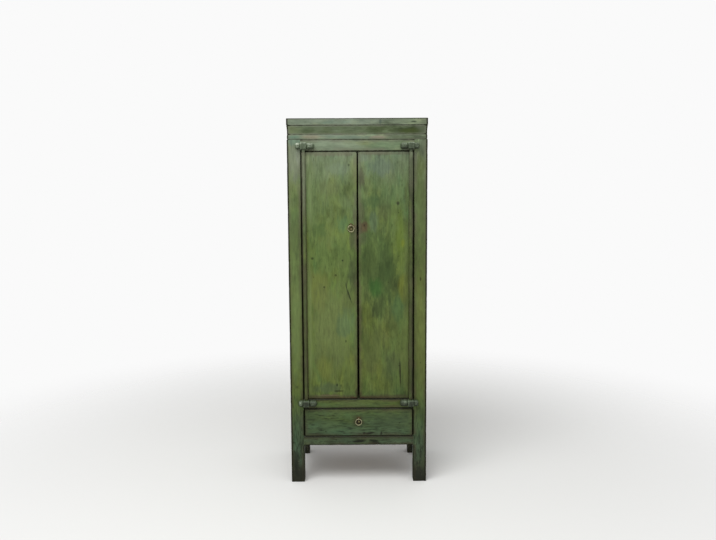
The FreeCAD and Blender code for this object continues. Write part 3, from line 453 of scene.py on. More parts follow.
@dataclass(frozen=True)
class AgedLacquer:
    """Green lacquer brushed on softwood and worn for about a century.

    To the eye it is a thin satin skin that follows the grain. It is paler and greyer towards the crown,
    olive on the doors and darker towards the feet, with floor dirt low down. Its arrises are worn to dark
    wood between bands that hands and cloths have rubbed grey-brown. The frieze carries painted shade, and
    the dark arrises are widened with painted shade at the front corners and beside the door seams.
    """

    name: str
    marks: tuple[Mark, ...]
    # Colour of the coat at each height; clouds and bruises shift those heights by a share of the whole.
    ageing: tuple[tuple[float, str], ...] = (
        (0.0, "#23261c"),
        (60.0, "#2f3427"),
        (130.0, "#435540"),
        (270.0, "#475a3b"),
        (345.0, "#506134"),
        (430.0, "#596835"),
        (700.0, "#5f6e3a"),
        (1000.0, "#5b6e3a"),
        (1260.0, "#64764b"),
        (1400.0, "#738163"),
        (1465.0, "#7b8970"),
        (1546.0, "#798573"),
    )
    ageing_shift: float = -0.045
    ageing_weights: tuple[float, float] = (0.05, 0.04)
    # Tints turn the coat's middle colour towards their own, each with a noise of its own.
    middle: str = "#5f6e44"
    tints: tuple[Tint, ...] = (
        Tint(Streaks(70.0, 190.0), "#6f7632", Slope(0.48, 0.70, 0.0, 0.42)),
        Tint(Streaks(60.0, 150.0), "#527248", Slope(0.50, 0.70, 0.0, 0.42)),
        Tint(Streaks(80.0, 120.0), "#615f49", Slope(0.54, 0.72, 0.0, 0.28)),
        Tint(Streaks(46.0, 120.0), "#3d4926", Slope(0.48, 0.70, 0.0, 0.66)),
        Tint(Streaks(7.0, 26.0), "#333d20", Slope(0.57, 0.70, 0.0, 0.45)),
    )
    tint_shift: float = 7.3
    # Grime, scuffs and specks near the floor, each with the heights between which it sets in
    floor_dirt: tuple[tuple[Tint, Slope], ...] = (
        (Tint(Streaks(7.0, 34.0, 3.0, 0.55), "#171b10", Slope(0.50, 0.66, 0.0, 0.80)), Slope(520.0, 180.0)),
        (Tint(Streaks(5.0, 11.0, 3.0, 0.55), "#6b6a55", Slope(0.57, 0.70, 0.0, 0.55)), Slope(170.0, 60.0)),
        (Tint(Streaks(3.4, 10.0, 3.0, 0.55), "#11150b", Slope(0.56, 0.66, 0.0, 0.75)), Slope(206.0, 170.0)),
    )
    # Painted shade on the frieze: the heights where it begins and ends, and how much of the clouds it takes
    frieze_shade: str = "#4c5839"
    frieze_foot: Slope = Slope(1479.5, 1483.0)
    frieze_head: Slope = Slope(1518.0, 1514.5)
    frieze_density: float = 1.3
    # Marks lie near the front face; streaks and fleece tear their outlines.
    mark_front: float = -190.0
    mark_depth: float = 40.0
    mark_fade: Slope = Slope(0.45, 1.25, 1.0, 0.0)
    tear: float = -1.6
    tear_weights: tuple[float, float] = (1.5, 1.7)
    # Bands along the arrises, rubbed in patches
    rubbed: tuple[tuple[float, str], ...] = (
        (0.0, "#2b271b"), (350.0, "#4a4530"), (1000.0, "#5c5942"), (1380.0, "#6c6d59"), (1546.0, "#767a6a"))
    rub_patch: Blotch = Blotch(70.0, 3.0, 0.55)
    rub_strength: Slope = Slope(0.34, 0.62, 0.12, 0.72)
    rub_band: Slope = Slope(8.0, 24.0, 1.0, 0.0)
    rub_waver: float = 12.0
    # Knocks bare an arris more widely at the top rim and low down; at the front corners and by the door
    # seams the dark band is widened as painted shade.
    corner_knock: Slope = Slope(272.0, 290.0, 0.0, 7.0)
    corner_depth: Slope = Slope(-182.0, -177.0, 1.0, 0.3)
    rim_knock: Slope = Slope(1530.0, 1542.0, 0.0, 4.0)
    low_knock: Slope = Slope(460.0, 380.0, 0.0, 1.2)
    seam: float = 232.0
    seam_knock: Slope = Slope(4.0, 12.0, 1.0, 0.0)
    # High on the doors and inside the posts the coat still covers the arrises.
    kept_coat: Slope = Slope(1100.0, 1330.0, 0.0, 3.0)
    kept_below: float = 1405.0
    kept_within: float = 270.0
    bare_band: Slope = Slope(2.2, 4.6, 0.92, 0.0)
    bare_waver: float = 4.0
    umber: str = "#1b1c09"
    dust: str = "#8d8f80"
    dust_slope: Slope = Slope(0.6, 1.0, 0.0, 0.45)
    ding_spacing: float = 46.0
    ding_size: Slope = Slope(0.5, 1.0, 0.0, 0.11)
    ding_strength: float = 0.6
    cloud: Blotch = Blotch(150.0, 3.0, 0.55)
    bruise: Blotch = Blotch(17.0, 4.0, 0.65)
    fleece: Streaks = Streaks(80.0, 200.0)
    streak: Streaks = Streaks(13.0, 46.0)
    # Brush lines are really half as wide; they are drawn this coarse so that they show.
    brush: Streaks = Streaks(2.6, 60.0)
    # Lightness, roughness and relief each add up weighted streaks, brush lines, fleece, tone or bareness.
    light: float = -0.225
    light_weights: tuple[float, float, float, float] = (0.85, 0.75, 0.85, 0.30)
    roughness: float = 0.39
    rough_weights: tuple[float, float] = (0.22, 0.25)
    relief: float = 0.5
    relief_strength: float = 0.35
    relief_weights: tuple[float, float] = (0.6, -0.8)
    ior: float = 1.48
    specular: float = 0.16

    def material(self) -> bpy.types.Material:
        """Builds the lacquer's material."""
        material, tree = blank_material(self.name)
        place = add(tree, "ShaderNodeTexCoord").outputs["Object"]
        height = add(tree, "ShaderNodeSeparateXYZ", {0: place}).outputs["Z"]
        timber = add(tree, "ShaderNodeAttribute", attribute_name="timber").outputs["Vector"]
        edge = add(tree, "ShaderNodeAttribute", attribute_name="edge").outputs["Fac"]
        tone = add(tree, "ShaderNodeAttribute", attribute_name="tone").outputs["Fac"]
        streak, brush, fleece = [
            lines.draw(tree, timber) for lines in (self.streak, self.brush, self.fleece)]
        bruise = add(tree, "ShaderNodeTexNoise", self.bruise.feeds(place))
        ground = Ground(tree, place, height, timber, edge, streak, fleece, bruise)
        light = self.light
        for source, weight in zip((streak, brush, fleece, tone), self.light_weights):
            light = add(tree, "ShaderNodeMath", {0: source, 1: weight, 2: light}, operation="MULTIPLY_ADD")
        colour = self._marked(ground, self._coat(ground))
        colour = add(tree, "ShaderNodeVectorMath", {0: colour, "Scale": light}, operation="SCALE")
        bare = self._bare(ground)
        colour = self._scarred(ground, self._rubbed(ground, colour), bare)
        rough = self.roughness
        for source, weight in zip((brush, bare), self.rough_weights):
            rough = add(tree, "ShaderNodeMath", {0: source, 1: weight, 2: rough}, operation="MULTIPLY_ADD")
        relief = brush
        for source, weight in zip((streak, bare), self.relief_weights):
            relief = add(tree, "ShaderNodeMath", {
                0: source, 1: weight, 2: relief}, operation="MULTIPLY_ADD")
        bump = add(tree, "ShaderNodeBump", {
            "Strength": self.relief_strength, "Distance": self.relief * MM, "Height": relief})
        skin = add(tree, "ShaderNodeBsdfPrincipled", {
            "Base Color": colour, "Roughness": rough, "IOR": self.ior,
            "Specular IOR Level": self.specular, "Normal": bump})
        add(tree, "ShaderNodeOutputMaterial", {"Surface": skin})
        return material

    def _coat(self, ground: Ground) -> Any:
        """Colour of the unbroken coat by height, with its yellowed areas, the floor's dirt and the painted
        shade of the frieze.

        Args:
            ground: What the layers share.

        Returns:
            The node that carries the colour.
        """
        tree, height = ground.tree, ground.height
        cloud = add(tree, "ShaderNodeTexNoise", self.cloud.feeds(ground.place))
        level = self.ageing_shift
        weights = (*self.ageing_weights, 1.0 / (CABINET_HEIGHT * MM))
        for source, weight in zip((cloud, ground.bruise, height), weights):
            level = add(tree, "ShaderNodeMath", {0: source, 1: weight, 2: level}, operation="MULTIPLY_ADD")
        colour = add(tree, "ShaderNodeValToRGB", {0: level})
        fill_ramp(colour, [(mm / CABINET_HEIGHT, code) for mm, code in self.ageing])
        for number, tint in enumerate(self.tints):
            share = tint.spread(tree, ground.timber, self.tint_shift * number)
            turned = tuple(b / a for a, b in zip(linear(self.middle)[:3], linear(tint.colour)[:3]))
            factor = add(tree, "ShaderNodeMix", {
                "Factor": share, "A": (1.0, 1.0, 1.0), "B": turned}, data_type="VECTOR")
            colour = add(tree, "ShaderNodeVectorMath", {0: colour, 1: factor}, operation="MULTIPLY")
        for dirt, levels in self.floor_dirt:
            share = dirt.spread(tree, ground.timber)
            low_down = add(tree, "ShaderNodeMapRange", levels.feeds(height, MM))
            share = add(tree, "ShaderNodeMath", {0: share, 1: low_down}, operation="MULTIPLY")
            colour = add(tree, "ShaderNodeMix", {
                "Factor": share, "A": colour, "B": linear(dirt.colour)}, data_type="RGBA")
        share = add(tree, "ShaderNodeMath", {
            0: cloud, 1: self.frieze_density}, operation="MULTIPLY", use_clamp=True)
        for levels in (self.frieze_foot, self.frieze_head):
            within = add(tree, "ShaderNodeMapRange", levels.feeds(height, MM))
            share = add(tree, "ShaderNodeMath", {0: share, 1: within}, operation="MULTIPLY")
        return add(tree, "ShaderNodeMix", {
            "Factor": share, "A": colour, "B": linear(self.frieze_shade)}, data_type="RGBA")

    def _marked(self, ground: Ground, colour: Any) -> Any:
        """Lays the stains, patches, scratches and painted shade and light of the front over the coat.

        Args:
            ground: What the layers share.
            colour: Colour so far.

        Returns:
            The node that carries the colour.
        """
        tree = ground.tree
        torn = self.tear
        for source, weight in zip((ground.streak, ground.fleece), self.tear_weights):
            torn = add(tree, "ShaderNodeMath", {0: source, 1: weight, 2: torn}, operation="MULTIPLY_ADD")
        for mark in self.marks:
            local = add(tree, "ShaderNodeMapping", {
                "Vector": ground.place,
                "Location": (mark.x * MM, self.mark_front * MM, mark.z * MM),
                "Rotation": (0.0, mark.tilt, 0.0),
                "Scale": (mark.half_width * MM, self.mark_depth * MM, mark.half_height * MM),
            }, vector_type="TEXTURE")
            reach = add(tree, "ShaderNodeVectorMath", {0: local}, operation="LENGTH").outputs["Value"]
            reach = add(tree, "ShaderNodeMath", {0: reach, 1: torn}, operation="ADD")
            fade = self.mark_fade._replace(start=mark.strength)
            share = add(tree, "ShaderNodeMapRange", fade.feeds(reach), interpolation_type="SMOOTHSTEP")
            colour = add(tree, "ShaderNodeMix", {
                "Factor": share, "A": colour, "B": linear(mark.colour)}, data_type="RGBA")
        return colour

    def _rubbed(self, ground: Ground, colour: Any) -> Any:
        """Rubs bands along the arrises.

        Args:
            ground: What the layers share.
            colour: Colour so far.

        Returns:
            The node that carries the colour.
        """
        tree = ground.tree
        patchy = add(tree, "ShaderNodeTexNoise", self.rub_patch.feeds(ground.place))
        strength = add(tree, "ShaderNodeMapRange", self.rub_strength.feeds(patchy))
        band = add(tree, "ShaderNodeMath", {
            0: ground.bruise, 1: self.rub_waver, 2: ground.edge}, operation="MULTIPLY_ADD")
        band = add(tree, "ShaderNodeMapRange", self.rub_band.feeds(band), interpolation_type="SMOOTHSTEP")
        share = add(tree, "ShaderNodeMath", {0: band, 1: strength}, operation="MULTIPLY")
        level = add(tree, "ShaderNodeMath", {
            0: ground.height, 1: 1.0 / (CABINET_HEIGHT * MM)}, operation="MULTIPLY")
        rubbed = add(tree, "ShaderNodeValToRGB", {0: level})
        fill_ramp(rubbed, [(mm / CABINET_HEIGHT, code) for mm, code in self.rubbed])
        return add(tree, "ShaderNodeMix", {"Factor": share, "A": colour, "B": rubbed}, data_type="RGBA")

    def _bare(self, ground: Ground) -> Any:
        """How bare the wood is along the arrises; at the front corners and by the door seams the band is
        widened as painted shade.

        Args:
            ground: What the layers share.

        Returns:
            The node that carries it, from 0 to 1.
        """
        tree, height = ground.tree, ground.height
        spot = add(tree, "ShaderNodeSeparateXYZ", {0: ground.place}).outputs
        aside = add(tree, "ShaderNodeMath", {0: spot["X"]}, operation="ABSOLUTE")
        beside = add(tree, "ShaderNodeMath", {0: aside, 1: self.seam * MM}, operation="SUBTRACT")
        beside = add(tree, "ShaderNodeMath", {0: beside}, operation="ABSOLUTE")
        # At the front corners and by the door seams the widened dark band is painted shade; at the rim and
        # low down it is wear.
        corner, front, rim, low, seam, kept = [
            add(tree, "ShaderNodeMapRange", slope.feeds(source, MM)) for slope, source in (
                (self.corner_knock, aside), (self.corner_depth, spot["Y"]), (self.rim_knock, height),
                (self.low_knock, height), (self.seam_knock, beside), (self.kept_coat, height))]
        knock = add(tree, "ShaderNodeMath", {0: corner, 1: front}, operation="MULTIPLY")
        for other in (rim, low, seam):
            knock = add(tree, "ShaderNodeMath", {0: knock, 1: other}, operation="MAXIMUM")
        for source, limit in ((height, self.kept_below), (aside, self.kept_within)):
            within = add(tree, "ShaderNodeMath", {0: source, 1: limit * MM}, operation="LESS_THAN")
            kept = add(tree, "ShaderNodeMath", {0: kept, 1: within}, operation="MULTIPLY")
        knock = add(tree, "ShaderNodeMath", {0: knock, 1: kept}, operation="SUBTRACT")
        broken = add(tree, "ShaderNodeMath", {0: ground.edge, 1: knock}, operation="SUBTRACT")
        broken = add(tree, "ShaderNodeMath", {
            0: ground.bruise, 1: self.bare_waver, 2: broken}, operation="MULTIPLY_ADD")
        bare = self.bare_band.feeds(broken)
        return add(tree, "ShaderNodeMapRange", bare, interpolation_type="SMOOTHSTEP")

    def _scarred(self, ground: Ground, colour: Any, bare: Any) -> Any:
        """Darkens the bare arrises and the painted shade at corners and seams, strikes dings and lets dust
        settle.

        Args:
            ground: What the layers share.
            colour: Colour so far.
            bare: How bare the wood is.

        Returns:
            The node that carries the colour.
        """
        tree = ground.tree
        cells = add(tree, "ShaderNodeTexVoronoi", {
            "Vector": ground.place, "Scale": across_mm(self.ding_spacing)[0], "Randomness": 1.0}).outputs
        pick = add(tree, "ShaderNodeSeparateColor", {0: cells["Color"]}).outputs[0]
        size = add(tree, "ShaderNodeMapRange", self.ding_size.feeds(pick))
        ding = add(tree, "ShaderNodeMath", {0: cells["Distance"], 1: size}, operation="LESS_THAN")
        ding = add(tree, "ShaderNodeMath", {0: ding, 1: self.ding_strength}, operation="MULTIPLY")
        facing = add(tree, "ShaderNodeNewGeometry").outputs["Normal"]
        upward = add(tree, "ShaderNodeSeparateXYZ", {0: facing}).outputs["Z"]
        settled = add(tree, "ShaderNodeMapRange", self.dust_slope.feeds(upward))
        for share, code in ((bare, self.umber), (ding, self.umber), (settled, self.dust)):
            colour = add(tree, "ShaderNodeMix", {
                "Factor": share, "A": colour, "B": linear(code)}, data_type="RGBA")
        return colour


@dataclass(frozen=True)
class CarvedPaint:
    """Green paint on small carved blocks: dark in the hollows and pale on the crests, partly from dirt and
    handling and partly as painted shade and painted highlights.
    """

    name: str = "carved_block_paint"
    # Hollows dark and crests pale: partly dirt and handling, partly painted shade in the hollows and
    # painted highlights on the crests
    stops: tuple[tuple[float, str], ...] = ((0.22, "#22291a"), (0.5, "#59664f"), (0.9, "#c3cdb9"))
    grime: Blotch = Blotch(8.0, 5.0, 0.65)
    grime_weight: float = 0.5
    # Painted light: faces that look up are lighter and faces that look down are darker.
    upward_weight: float = 0.15
    # The upper blocks are paler, and those on the right are darker with painted shade.
    faded: Slope = Slope(400.0, 1400.0, -0.05, 0.10)
    sooty: Slope = Slope(-200.0, 200.0, 0.0, -0.07)
    roughness: float = 0.32
    rough_weight: float = 0.3
    relief: float = 0.4
    relief_strength: float = 0.4
    ior: float = 1.5
    specular: float = 0.3

    def material(self) -> bpy.types.Material:
        """Builds the paint's material."""
        material, tree = blank_material(self.name)
        place = add(tree, "ShaderNodeTexCoord").outputs["Object"]
        crest = add(tree, "ShaderNodeAttribute", attribute_name="crest").outputs["Fac"]
        grime = add(tree, "ShaderNodeTexNoise", self.grime.feeds(place))
        spot = add(tree, "ShaderNodeSeparateXYZ", {0: place}).outputs
        faded = add(tree, "ShaderNodeMapRange", self.faded.feeds(spot["Z"], MM))
        # Painted shade: the blocks on the right are darker.
        sooty = add(tree, "ShaderNodeMapRange", self.sooty.feeds(spot["X"], MM))
        faded = add(tree, "ShaderNodeMath", {0: faded, 1: sooty}, operation="ADD")
        facing = add(tree, "ShaderNodeNewGeometry").outputs["Normal"]
        upward = add(tree, "ShaderNodeSeparateXYZ", {0: facing}).outputs["Z"]
        level = crest
        # Painted light from above, by the face's upward turn.
        for source, weight in ((grime, self.grime_weight), (upward, self.upward_weight)):
            level = add(tree, "ShaderNodeMath", {0: source, 1: weight, 2: level}, operation="MULTIPLY_ADD")
        level = add(tree, "ShaderNodeMath", {0: level, 1: faded}, operation="ADD")
        ramp = add(tree, "ShaderNodeValToRGB", {0: level})
        fill_ramp(ramp, self.stops)
        bump = add(tree, "ShaderNodeBump", {
            "Strength": self.relief_strength, "Distance": self.relief * MM, "Height": grime})
        rough = add(tree, "ShaderNodeMath", {
            0: grime, 1: self.rough_weight, 2: self.roughness}, operation="MULTIPLY_ADD")
        skin = add(tree, "ShaderNodeBsdfPrincipled", {
            "Base Color": ramp, "Roughness": rough, "IOR": self.ior,
            "Specular IOR Level": self.specular, "Normal": bump})
        add(tree, "ShaderNodeOutputMaterial", {"Surface": skin})
        return material


@dataclass(frozen=True)
class BareSoftwood:
    """Planed softwood never painted: soft grey-brown with darker late-wood lines and old dust."""

    name: str = "bare_softwood"
    early: str = "#8d7656"
    late: str = "#65502f"
    grime: str = "#3c3122"
    # The rings are the level lines of a slow noise, which arch as they do on a flat-sawn board.
    figure: Streaks = Streaks(75.0, 900.0, 1.0, 0.4)
    rings: float = 120.0
    fibre: Streaks = Streaks(1.6, 60.0, 3.0, 0.5)
    grain: float = 0.4
    grain_weights: tuple[float, float] = (0.3, 0.7)
    late_share: Slope = Slope(0.35, 1.3)
    stain: Blotch = Blotch(120.0, 5.0, 0.6)
    stain_share: Slope = Slope(0.42, 0.72, 0.05, 0.65)
    edge_share: Slope = Slope(0.0, 3.0, 0.45, 0.0)
    roughness: float = 0.78
    relief: float = 0.4
    relief_strength: float = 0.4
    specular: float = 0.3

    def material(self) -> bpy.types.Material:
        """Builds the wood's material."""
        material, tree = blank_material(self.name)
        place = add(tree, "ShaderNodeTexCoord").outputs["Object"]
        timber = add(tree, "ShaderNodeAttribute", attribute_name="timber").outputs["Vector"]
        edge = add(tree, "ShaderNodeAttribute", attribute_name="edge").outputs["Fac"]
        rings = add(tree, "ShaderNodeMath", {
            0: self.figure.draw(tree, timber), 1: self.rings}, operation="MULTIPLY")
        rings = add(tree, "ShaderNodeMath", {0: rings}, operation="SINE")
        fibre = self.fibre.draw(tree, timber)
        grain = self.grain
        for source, weight in zip((rings, fibre), self.grain_weights):
            grain = add(tree, "ShaderNodeMath", {0: source, 1: weight, 2: grain}, operation="MULTIPLY_ADD")
        share = add(tree, "ShaderNodeMapRange", self.late_share.feeds(grain))
        colour = add(tree, "ShaderNodeMix", {
            "Factor": share, "A": linear(self.early), "B": linear(self.late)}, data_type="RGBA")
        stain = add(tree, "ShaderNodeTexNoise", self.stain.feeds(place))
        for source, dirt in ((stain, self.stain_share), (edge, self.edge_share)):
            share = add(tree, "ShaderNodeMapRange", dirt.feeds(source))
            colour = add(tree, "ShaderNodeMix", {
                "Factor": share, "A": colour, "B": linear(self.grime)}, data_type="RGBA")
        bump = add(tree, "ShaderNodeBump", {
            "Strength": self.relief_strength, "Distance": self.relief * MM, "Height": grain})
        skin = add(tree, "ShaderNodeBsdfPrincipled", {
            "Base Color": colour, "Roughness": self.roughness,
            "Specular IOR Level": self.specular, "Normal": bump})
        add(tree, "ShaderNodeOutputMaterial", {"Surface": skin})
        return material


@dataclass(frozen=True)
class OldMetal:
    """Hand-worked metal, bright where fingers rub it and dull or rusted elsewhere."""

    name: str
    bright: str
    dull: str
    metallic: float
    roughness: float
    patch: Blotch = Blotch(5.0, 5.0, 0.7)
    dull_share: Slope = Slope(0.38, 0.66)
    rough_weight: float = 0.3
    relief: float = 0.2
    relief_strength: float = 0.3

    def material(self) -> bpy.types.Material:
        """Builds the metal's material."""
        material, tree = blank_material(self.name)
        place = add(tree, "ShaderNodeTexCoord").outputs["Object"]
        patch = add(tree, "ShaderNodeTexNoise", self.patch.feeds(place))
        share = add(tree, "ShaderNodeMapRange", self.dull_share.feeds(patch))
        colour = add(tree, "ShaderNodeMix", {
            "Factor": share, "A": linear(self.bright), "B": linear(self.dull)}, data_type="RGBA")
        rough = add(tree, "ShaderNodeMath", {
            0: share, 1: self.rough_weight, 2: self.roughness}, operation="MULTIPLY_ADD")
        bump = add(tree, "ShaderNodeBump", {
            "Strength": self.relief_strength, "Distance": self.relief * MM, "Height": patch})
        skin = add(tree, "ShaderNodeBsdfPrincipled", {
            "Base Color": colour, "Metallic": self.metallic, "Roughness": rough, "Normal": bump})
        add(tree, "ShaderNodeOutputMaterial", {"Surface": skin})
        return material


@dataclass
class Finishes:
    """The materials of the cabinet, each built once."""

    case: bpy.types.Material
    doors: dict[Side, bpy.types.Material]
    drawer: bpy.types.Material
    paint: bpy.types.Material
    softwood: bpy.types.Material
    brass: bpy.types.Material
    browned_brass: bpy.types.Material
    iron: bpy.types.Material
    painted_iron: bpy.types.Material

    @classmethod
    def mixed(cls) -> "Finishes":
        """Builds every finish."""
        return cls(
            case=AgedLacquer("aged_green_lacquer_case", CASE_MARKS).material(),
            doors={
                Side.LEFT: AgedLacquer("aged_green_lacquer_left_door", LEFT_DOOR_MARKS).material(),
                Side.RIGHT: AgedLacquer("aged_green_lacquer_right_door", RIGHT_DOOR_MARKS).material(),
            },
            drawer=AgedLacquer("aged_green_lacquer_drawer", DRAWER_MARKS).material(),
            paint=CarvedPaint().material(),
            softwood=BareSoftwood().material(),
            brass=OldMetal("dull_brass", "#a3a081", "#68644b", 1.0, 0.42).material(),
            browned_brass=OldMetal("browned_brass", "#6b5f40", "#3a321d", 0.9, 0.5).material(),
            iron=OldMetal("rusted_iron", "#4a3c2a", "#2c2114", 0.3, 0.6).material(),
            painted_iron=OldMetal("overpainted_iron", "#5b6650", "#39412e", 0.05, 0.5).material(),
        )


# Worn timber

class Grain(Enum):
    """The axis along which a timber's fibres run."""

    X = 0
    Y = 1
    Z = 2

    def place(self, across: float, over: float, along: float) -> Vector:
        """Turns section and length coordinates into the cabinet's axes."""
        point = Vector((0.0, 0.0, 0.0))
        point[self.value] = along
        point[(self.value + 1) % 3] = across
        point[(self.value + 2) % 3] = over
        return point


class Extent(NamedTuple):
    """A box in the cabinet's axes, in millimetres."""

    x: tuple[float, float]
    y: tuple[float, float]
    z: tuple[float, float]

    @classmethod
    def of(cls, node: str) -> "Extent":
        """The room that a CAD node takes."""
        low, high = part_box(node)
        return cls(*[(low[axis] / MM, high[axis] / MM) for axis in range(3)])


class Corner(NamedTuple):
    """A point of a section; an arris of None marks a point on a smooth run.

    Wear is the width of the worn band along the arris, as a share of the usual width.
    """

    across: float
    over: float
    arris: float | None
    wear: float = 1.0


class Rim(NamedTuple):
    """A point of a detailed section with its outward direction and distance from an arris."""

    across: float
    over: float
    out_across: float
    out_over: float
    edge: float


class Row(NamedTuple):
    """One row of points along a timber: place from 0 to 1, inset, distance from an end and shape."""

    share: float
    inset: float
    gap: float
    shrink: float
    cap: float


@dataclass
class Shell:
    """A closed skin of points and faces, in millimetres."""

    points: list[Vector]
    faces: list[list[int]]
    edge: list[float]
    timber: list[Vector]


def spread(length: float, step: float) -> list[float]:
    """Stops between two arrises, close together near both.

    Args:
        length: Distance between the arrises.
        step: Greatest distance between stops.

    Returns:
        The stops, without the ends.
    """
    near = [stop for stop in NEAR_STOPS if stop < length / 2.0 - MIDDLE_GAP]
    first = near[-1] if near else 0.0
    middle = length - 2.0 * first
    count = max(1, math.ceil(middle / step))
    even = [first + middle * number / count for number in range(1, count)]
    return near + even + [length - stop for stop in reversed(near)]


@dataclass
class Timber:
    """One worn length of wood: a section carried along the grain, in millimetres."""

    label: str
    grain: Grain
    section: Sequence[Corner]
    span: tuple[End, End]
    free: tuple[bool, bool] = (False, False)
    step: float = 12.0
    sway: float = 0.35
    chip: float = 1.4
    end_round: float = 1.5
    mitred: tuple[bool, bool] = (False, False)
    butted: Callable[[Vector], bool] = lambda point: False

    @classmethod
    def plank(cls, label: str, room: Extent, grain: Grain, arris: float = 1.6, wear: float = 1.0,
              **details: Any) -> "Timber":
        """A square-edged timber that fills a box.

        Args:
            label: Seeds the piece's own irregularities.
            room: The box.
            grain: Direction of the fibres.
            arris: Rounding of the long edges.
            wear: Width of the worn bands along them, as a share of the usual width.
            details: Other fields of Timber.

        Returns:
            The timber.
        """
        across = room[(grain.value + 1) % 3]
        over = room[(grain.value + 2) % 3]
        corners = [(across[0], over[0]), (across[1], over[0]), (across[1], over[1]), (across[0], over[1])]
        section = [Corner(a, b, arris, wear) for a, b in corners]
        return cls(label, grain, section, room[grain.value], **details)

    @property
    def shift(self) -> Vector:
        """An offset of the noise that belongs to this label alone."""
        number = zlib.crc32(self.label.encode()) % SHIFT_COUNT
        return Vector([number * step for step in SHIFT_STEPS])

    def _arcs(self, corners: Sequence[Corner]) -> list[list[tuple[Vector, Vector]]]:
        """Rounds the corners of a section.

        Args:
            corners: The section, counter-clockwise.

        Returns:
            For each corner, its points with their outward directions.
        """
        arcs: list[list[tuple[Vector, Vector]]] = []
        for number, corner in enumerate(corners):
            before, after = corners[number - 1], corners[(number + 1) % len(corners)]
            here = Vector((corner.across, corner.over))
            come = (here - Vector((before.across, before.over))).normalized()
            leave = (Vector((after.across, after.over)) - here).normalized()
            out_come, out_leave = Vector((come.y, -come.x)), Vector((leave.y, -leave.x))
            turn = math.atan2(come.x * leave.y - come.y * leave.x, come.dot(leave))
            if not corner.arris or turn < LEAST_TURN:
                arcs.append([(here, (out_come + out_leave).normalized())])
                continue
            centre = here - come * (corner.arris * math.tan(turn / 2.0)) - out_come * corner.arris
            arc = []
            for point in range(ARC_POINTS):
                angle = turn * point / (ARC_POINTS - 1)
                out = Matrix.Rotation(angle, 2) @ out_come
                arc.append((centre + out * corner.arris, out))
            arcs.append(arc)
        return arcs

    def _outline(self) -> list[Rim]:
        """The section with rounded arrises and extra points."""
        corners = list(self.section)
        turns = zip(corners, corners[1:] + corners[:1])
        if sum(p.across * q.over - q.across * p.over for p, q in turns) < 0.0:
            corners.reverse()
        arcs = self._arcs(corners)
        sharp = [c for c in corners if c.arris]
        rims = []
        for number, arc in enumerate(arcs):
            following = (number + 1) % len(corners)
            run = list(arc)
            start, finish = arc[-1][0], arcs[following][0][0]
            smooth = corners[number].arris is None and corners[following].arris is None
            if not smooth:
                heading = (finish - start).normalized()
                out = Vector((heading.y, -heading.x))
                for stop in spread((finish - start).length, self.step):
                    run.append((start + heading * stop, out))
            for point, out in run:
                gaps = [(math.hypot(point.x - c.across, point.y - c.over) - ARRIS_DEPTH * c.arris) / c.wear
                        for c in sharp]
                edge = max(0.0, min(gaps + [FREE_EDGE]))
                rims.append(Rim(point.x, point.y, out.x, out.y, edge))
        return rims

    def _stations(self, length: float) -> list[tuple[float, float, float]]:
        """Place, inset and distance from a free end of every row of points."""
        stops = spread(length, self.step)
        rows = [(stop, 0.0) for stop in stops if self.end_round < stop < length - self.end_round]
        for end in (0, 1):
            rounding = [(0.0, 0.0)]
            if self.free[end]:
                angles = [math.pi / 2.0 * number / (ARC_POINTS - 1) for number in range(ARC_POINTS)]
                inset = END_INSET * self.end_round
                rounding = [
                    (self.end_round * (1.0 - math.cos(angle)), inset * (1.0 - math.sin(angle)))
                    for angle in angles]
            rows += [(length - stop if end else stop, inset) for stop, inset in rounding]
        rows.sort()
        found = []
        for stop, inset in rows:
            gap = min([g for g, free in zip((stop, length - stop), self.free) if free] + [FREE_EDGE])
            found.append((stop, inset, gap))
        return found

    def _weathered(self, point: Vector, out: Vector, edge: float) -> Vector:
        """A point moved by hand-planed waves and by bruises near an arris."""
        wave = noise.noise(point / LONG_WAVE + self.shift)
        wave += SHORT_WAVE_SHARE * noise.noise(point / SHORT_WAVE + self.shift)
        knock = max(0.0, noise.noise(point / BRUISE_LENGTH + self.shift * 2.0) - BRUISE_ONSET)
        loss = self.chip * knock * max(0.0, 1.0 - edge / BRUISE_REACH)
        return point + out * (self.sway * wave - loss)

    def _ring(self, skin: Shell, rims: Sequence[Rim], middle: Vector, row: Row) -> None:
        """Adds one row of points to a skin.

        Args:
            skin: The skin that grows.
            rims: The detailed section.
            middle: Centre of the section.
            row: Where the row lies and how it is drawn in.
        """
        for rim in rims:
            a = rim.across - rim.out_across * row.inset
            b = rim.over - rim.out_over * row.inset
            a, b = middle.x + (a - middle.x) * row.shrink, middle.y + (b - middle.y) * row.shrink
            low, high = [end(a, b) if callable(end) else end for end in self.span]
            ahead, behind = (high - low) * row.share, (high - low) * (1.0 - row.share)
            point = self.grain.place(a, b, low + ahead)
            if row.cap:
                out, edge = self.grain.place(0.0, 0.0, row.cap), row.gap
            else:
                out, edge = self.grain.place(rim.out_across, rim.out_over, 0.0), min(rim.edge, row.gap)
            moved = self._weathered(point, out, edge)
            skin.points.append(moved)
            cuts = [gap for gap, cut in zip((ahead, behind), self.mitred) if cut]
            worn = min([edge] + cuts)
            skin.edge.append(FREE_EDGE if self.butted(point) else worn)
            along = Vector([moved[(self.grain.value + 1 + axis) % 3] for axis in range(3)])
            skin.timber.append(along * MM + self.shift)

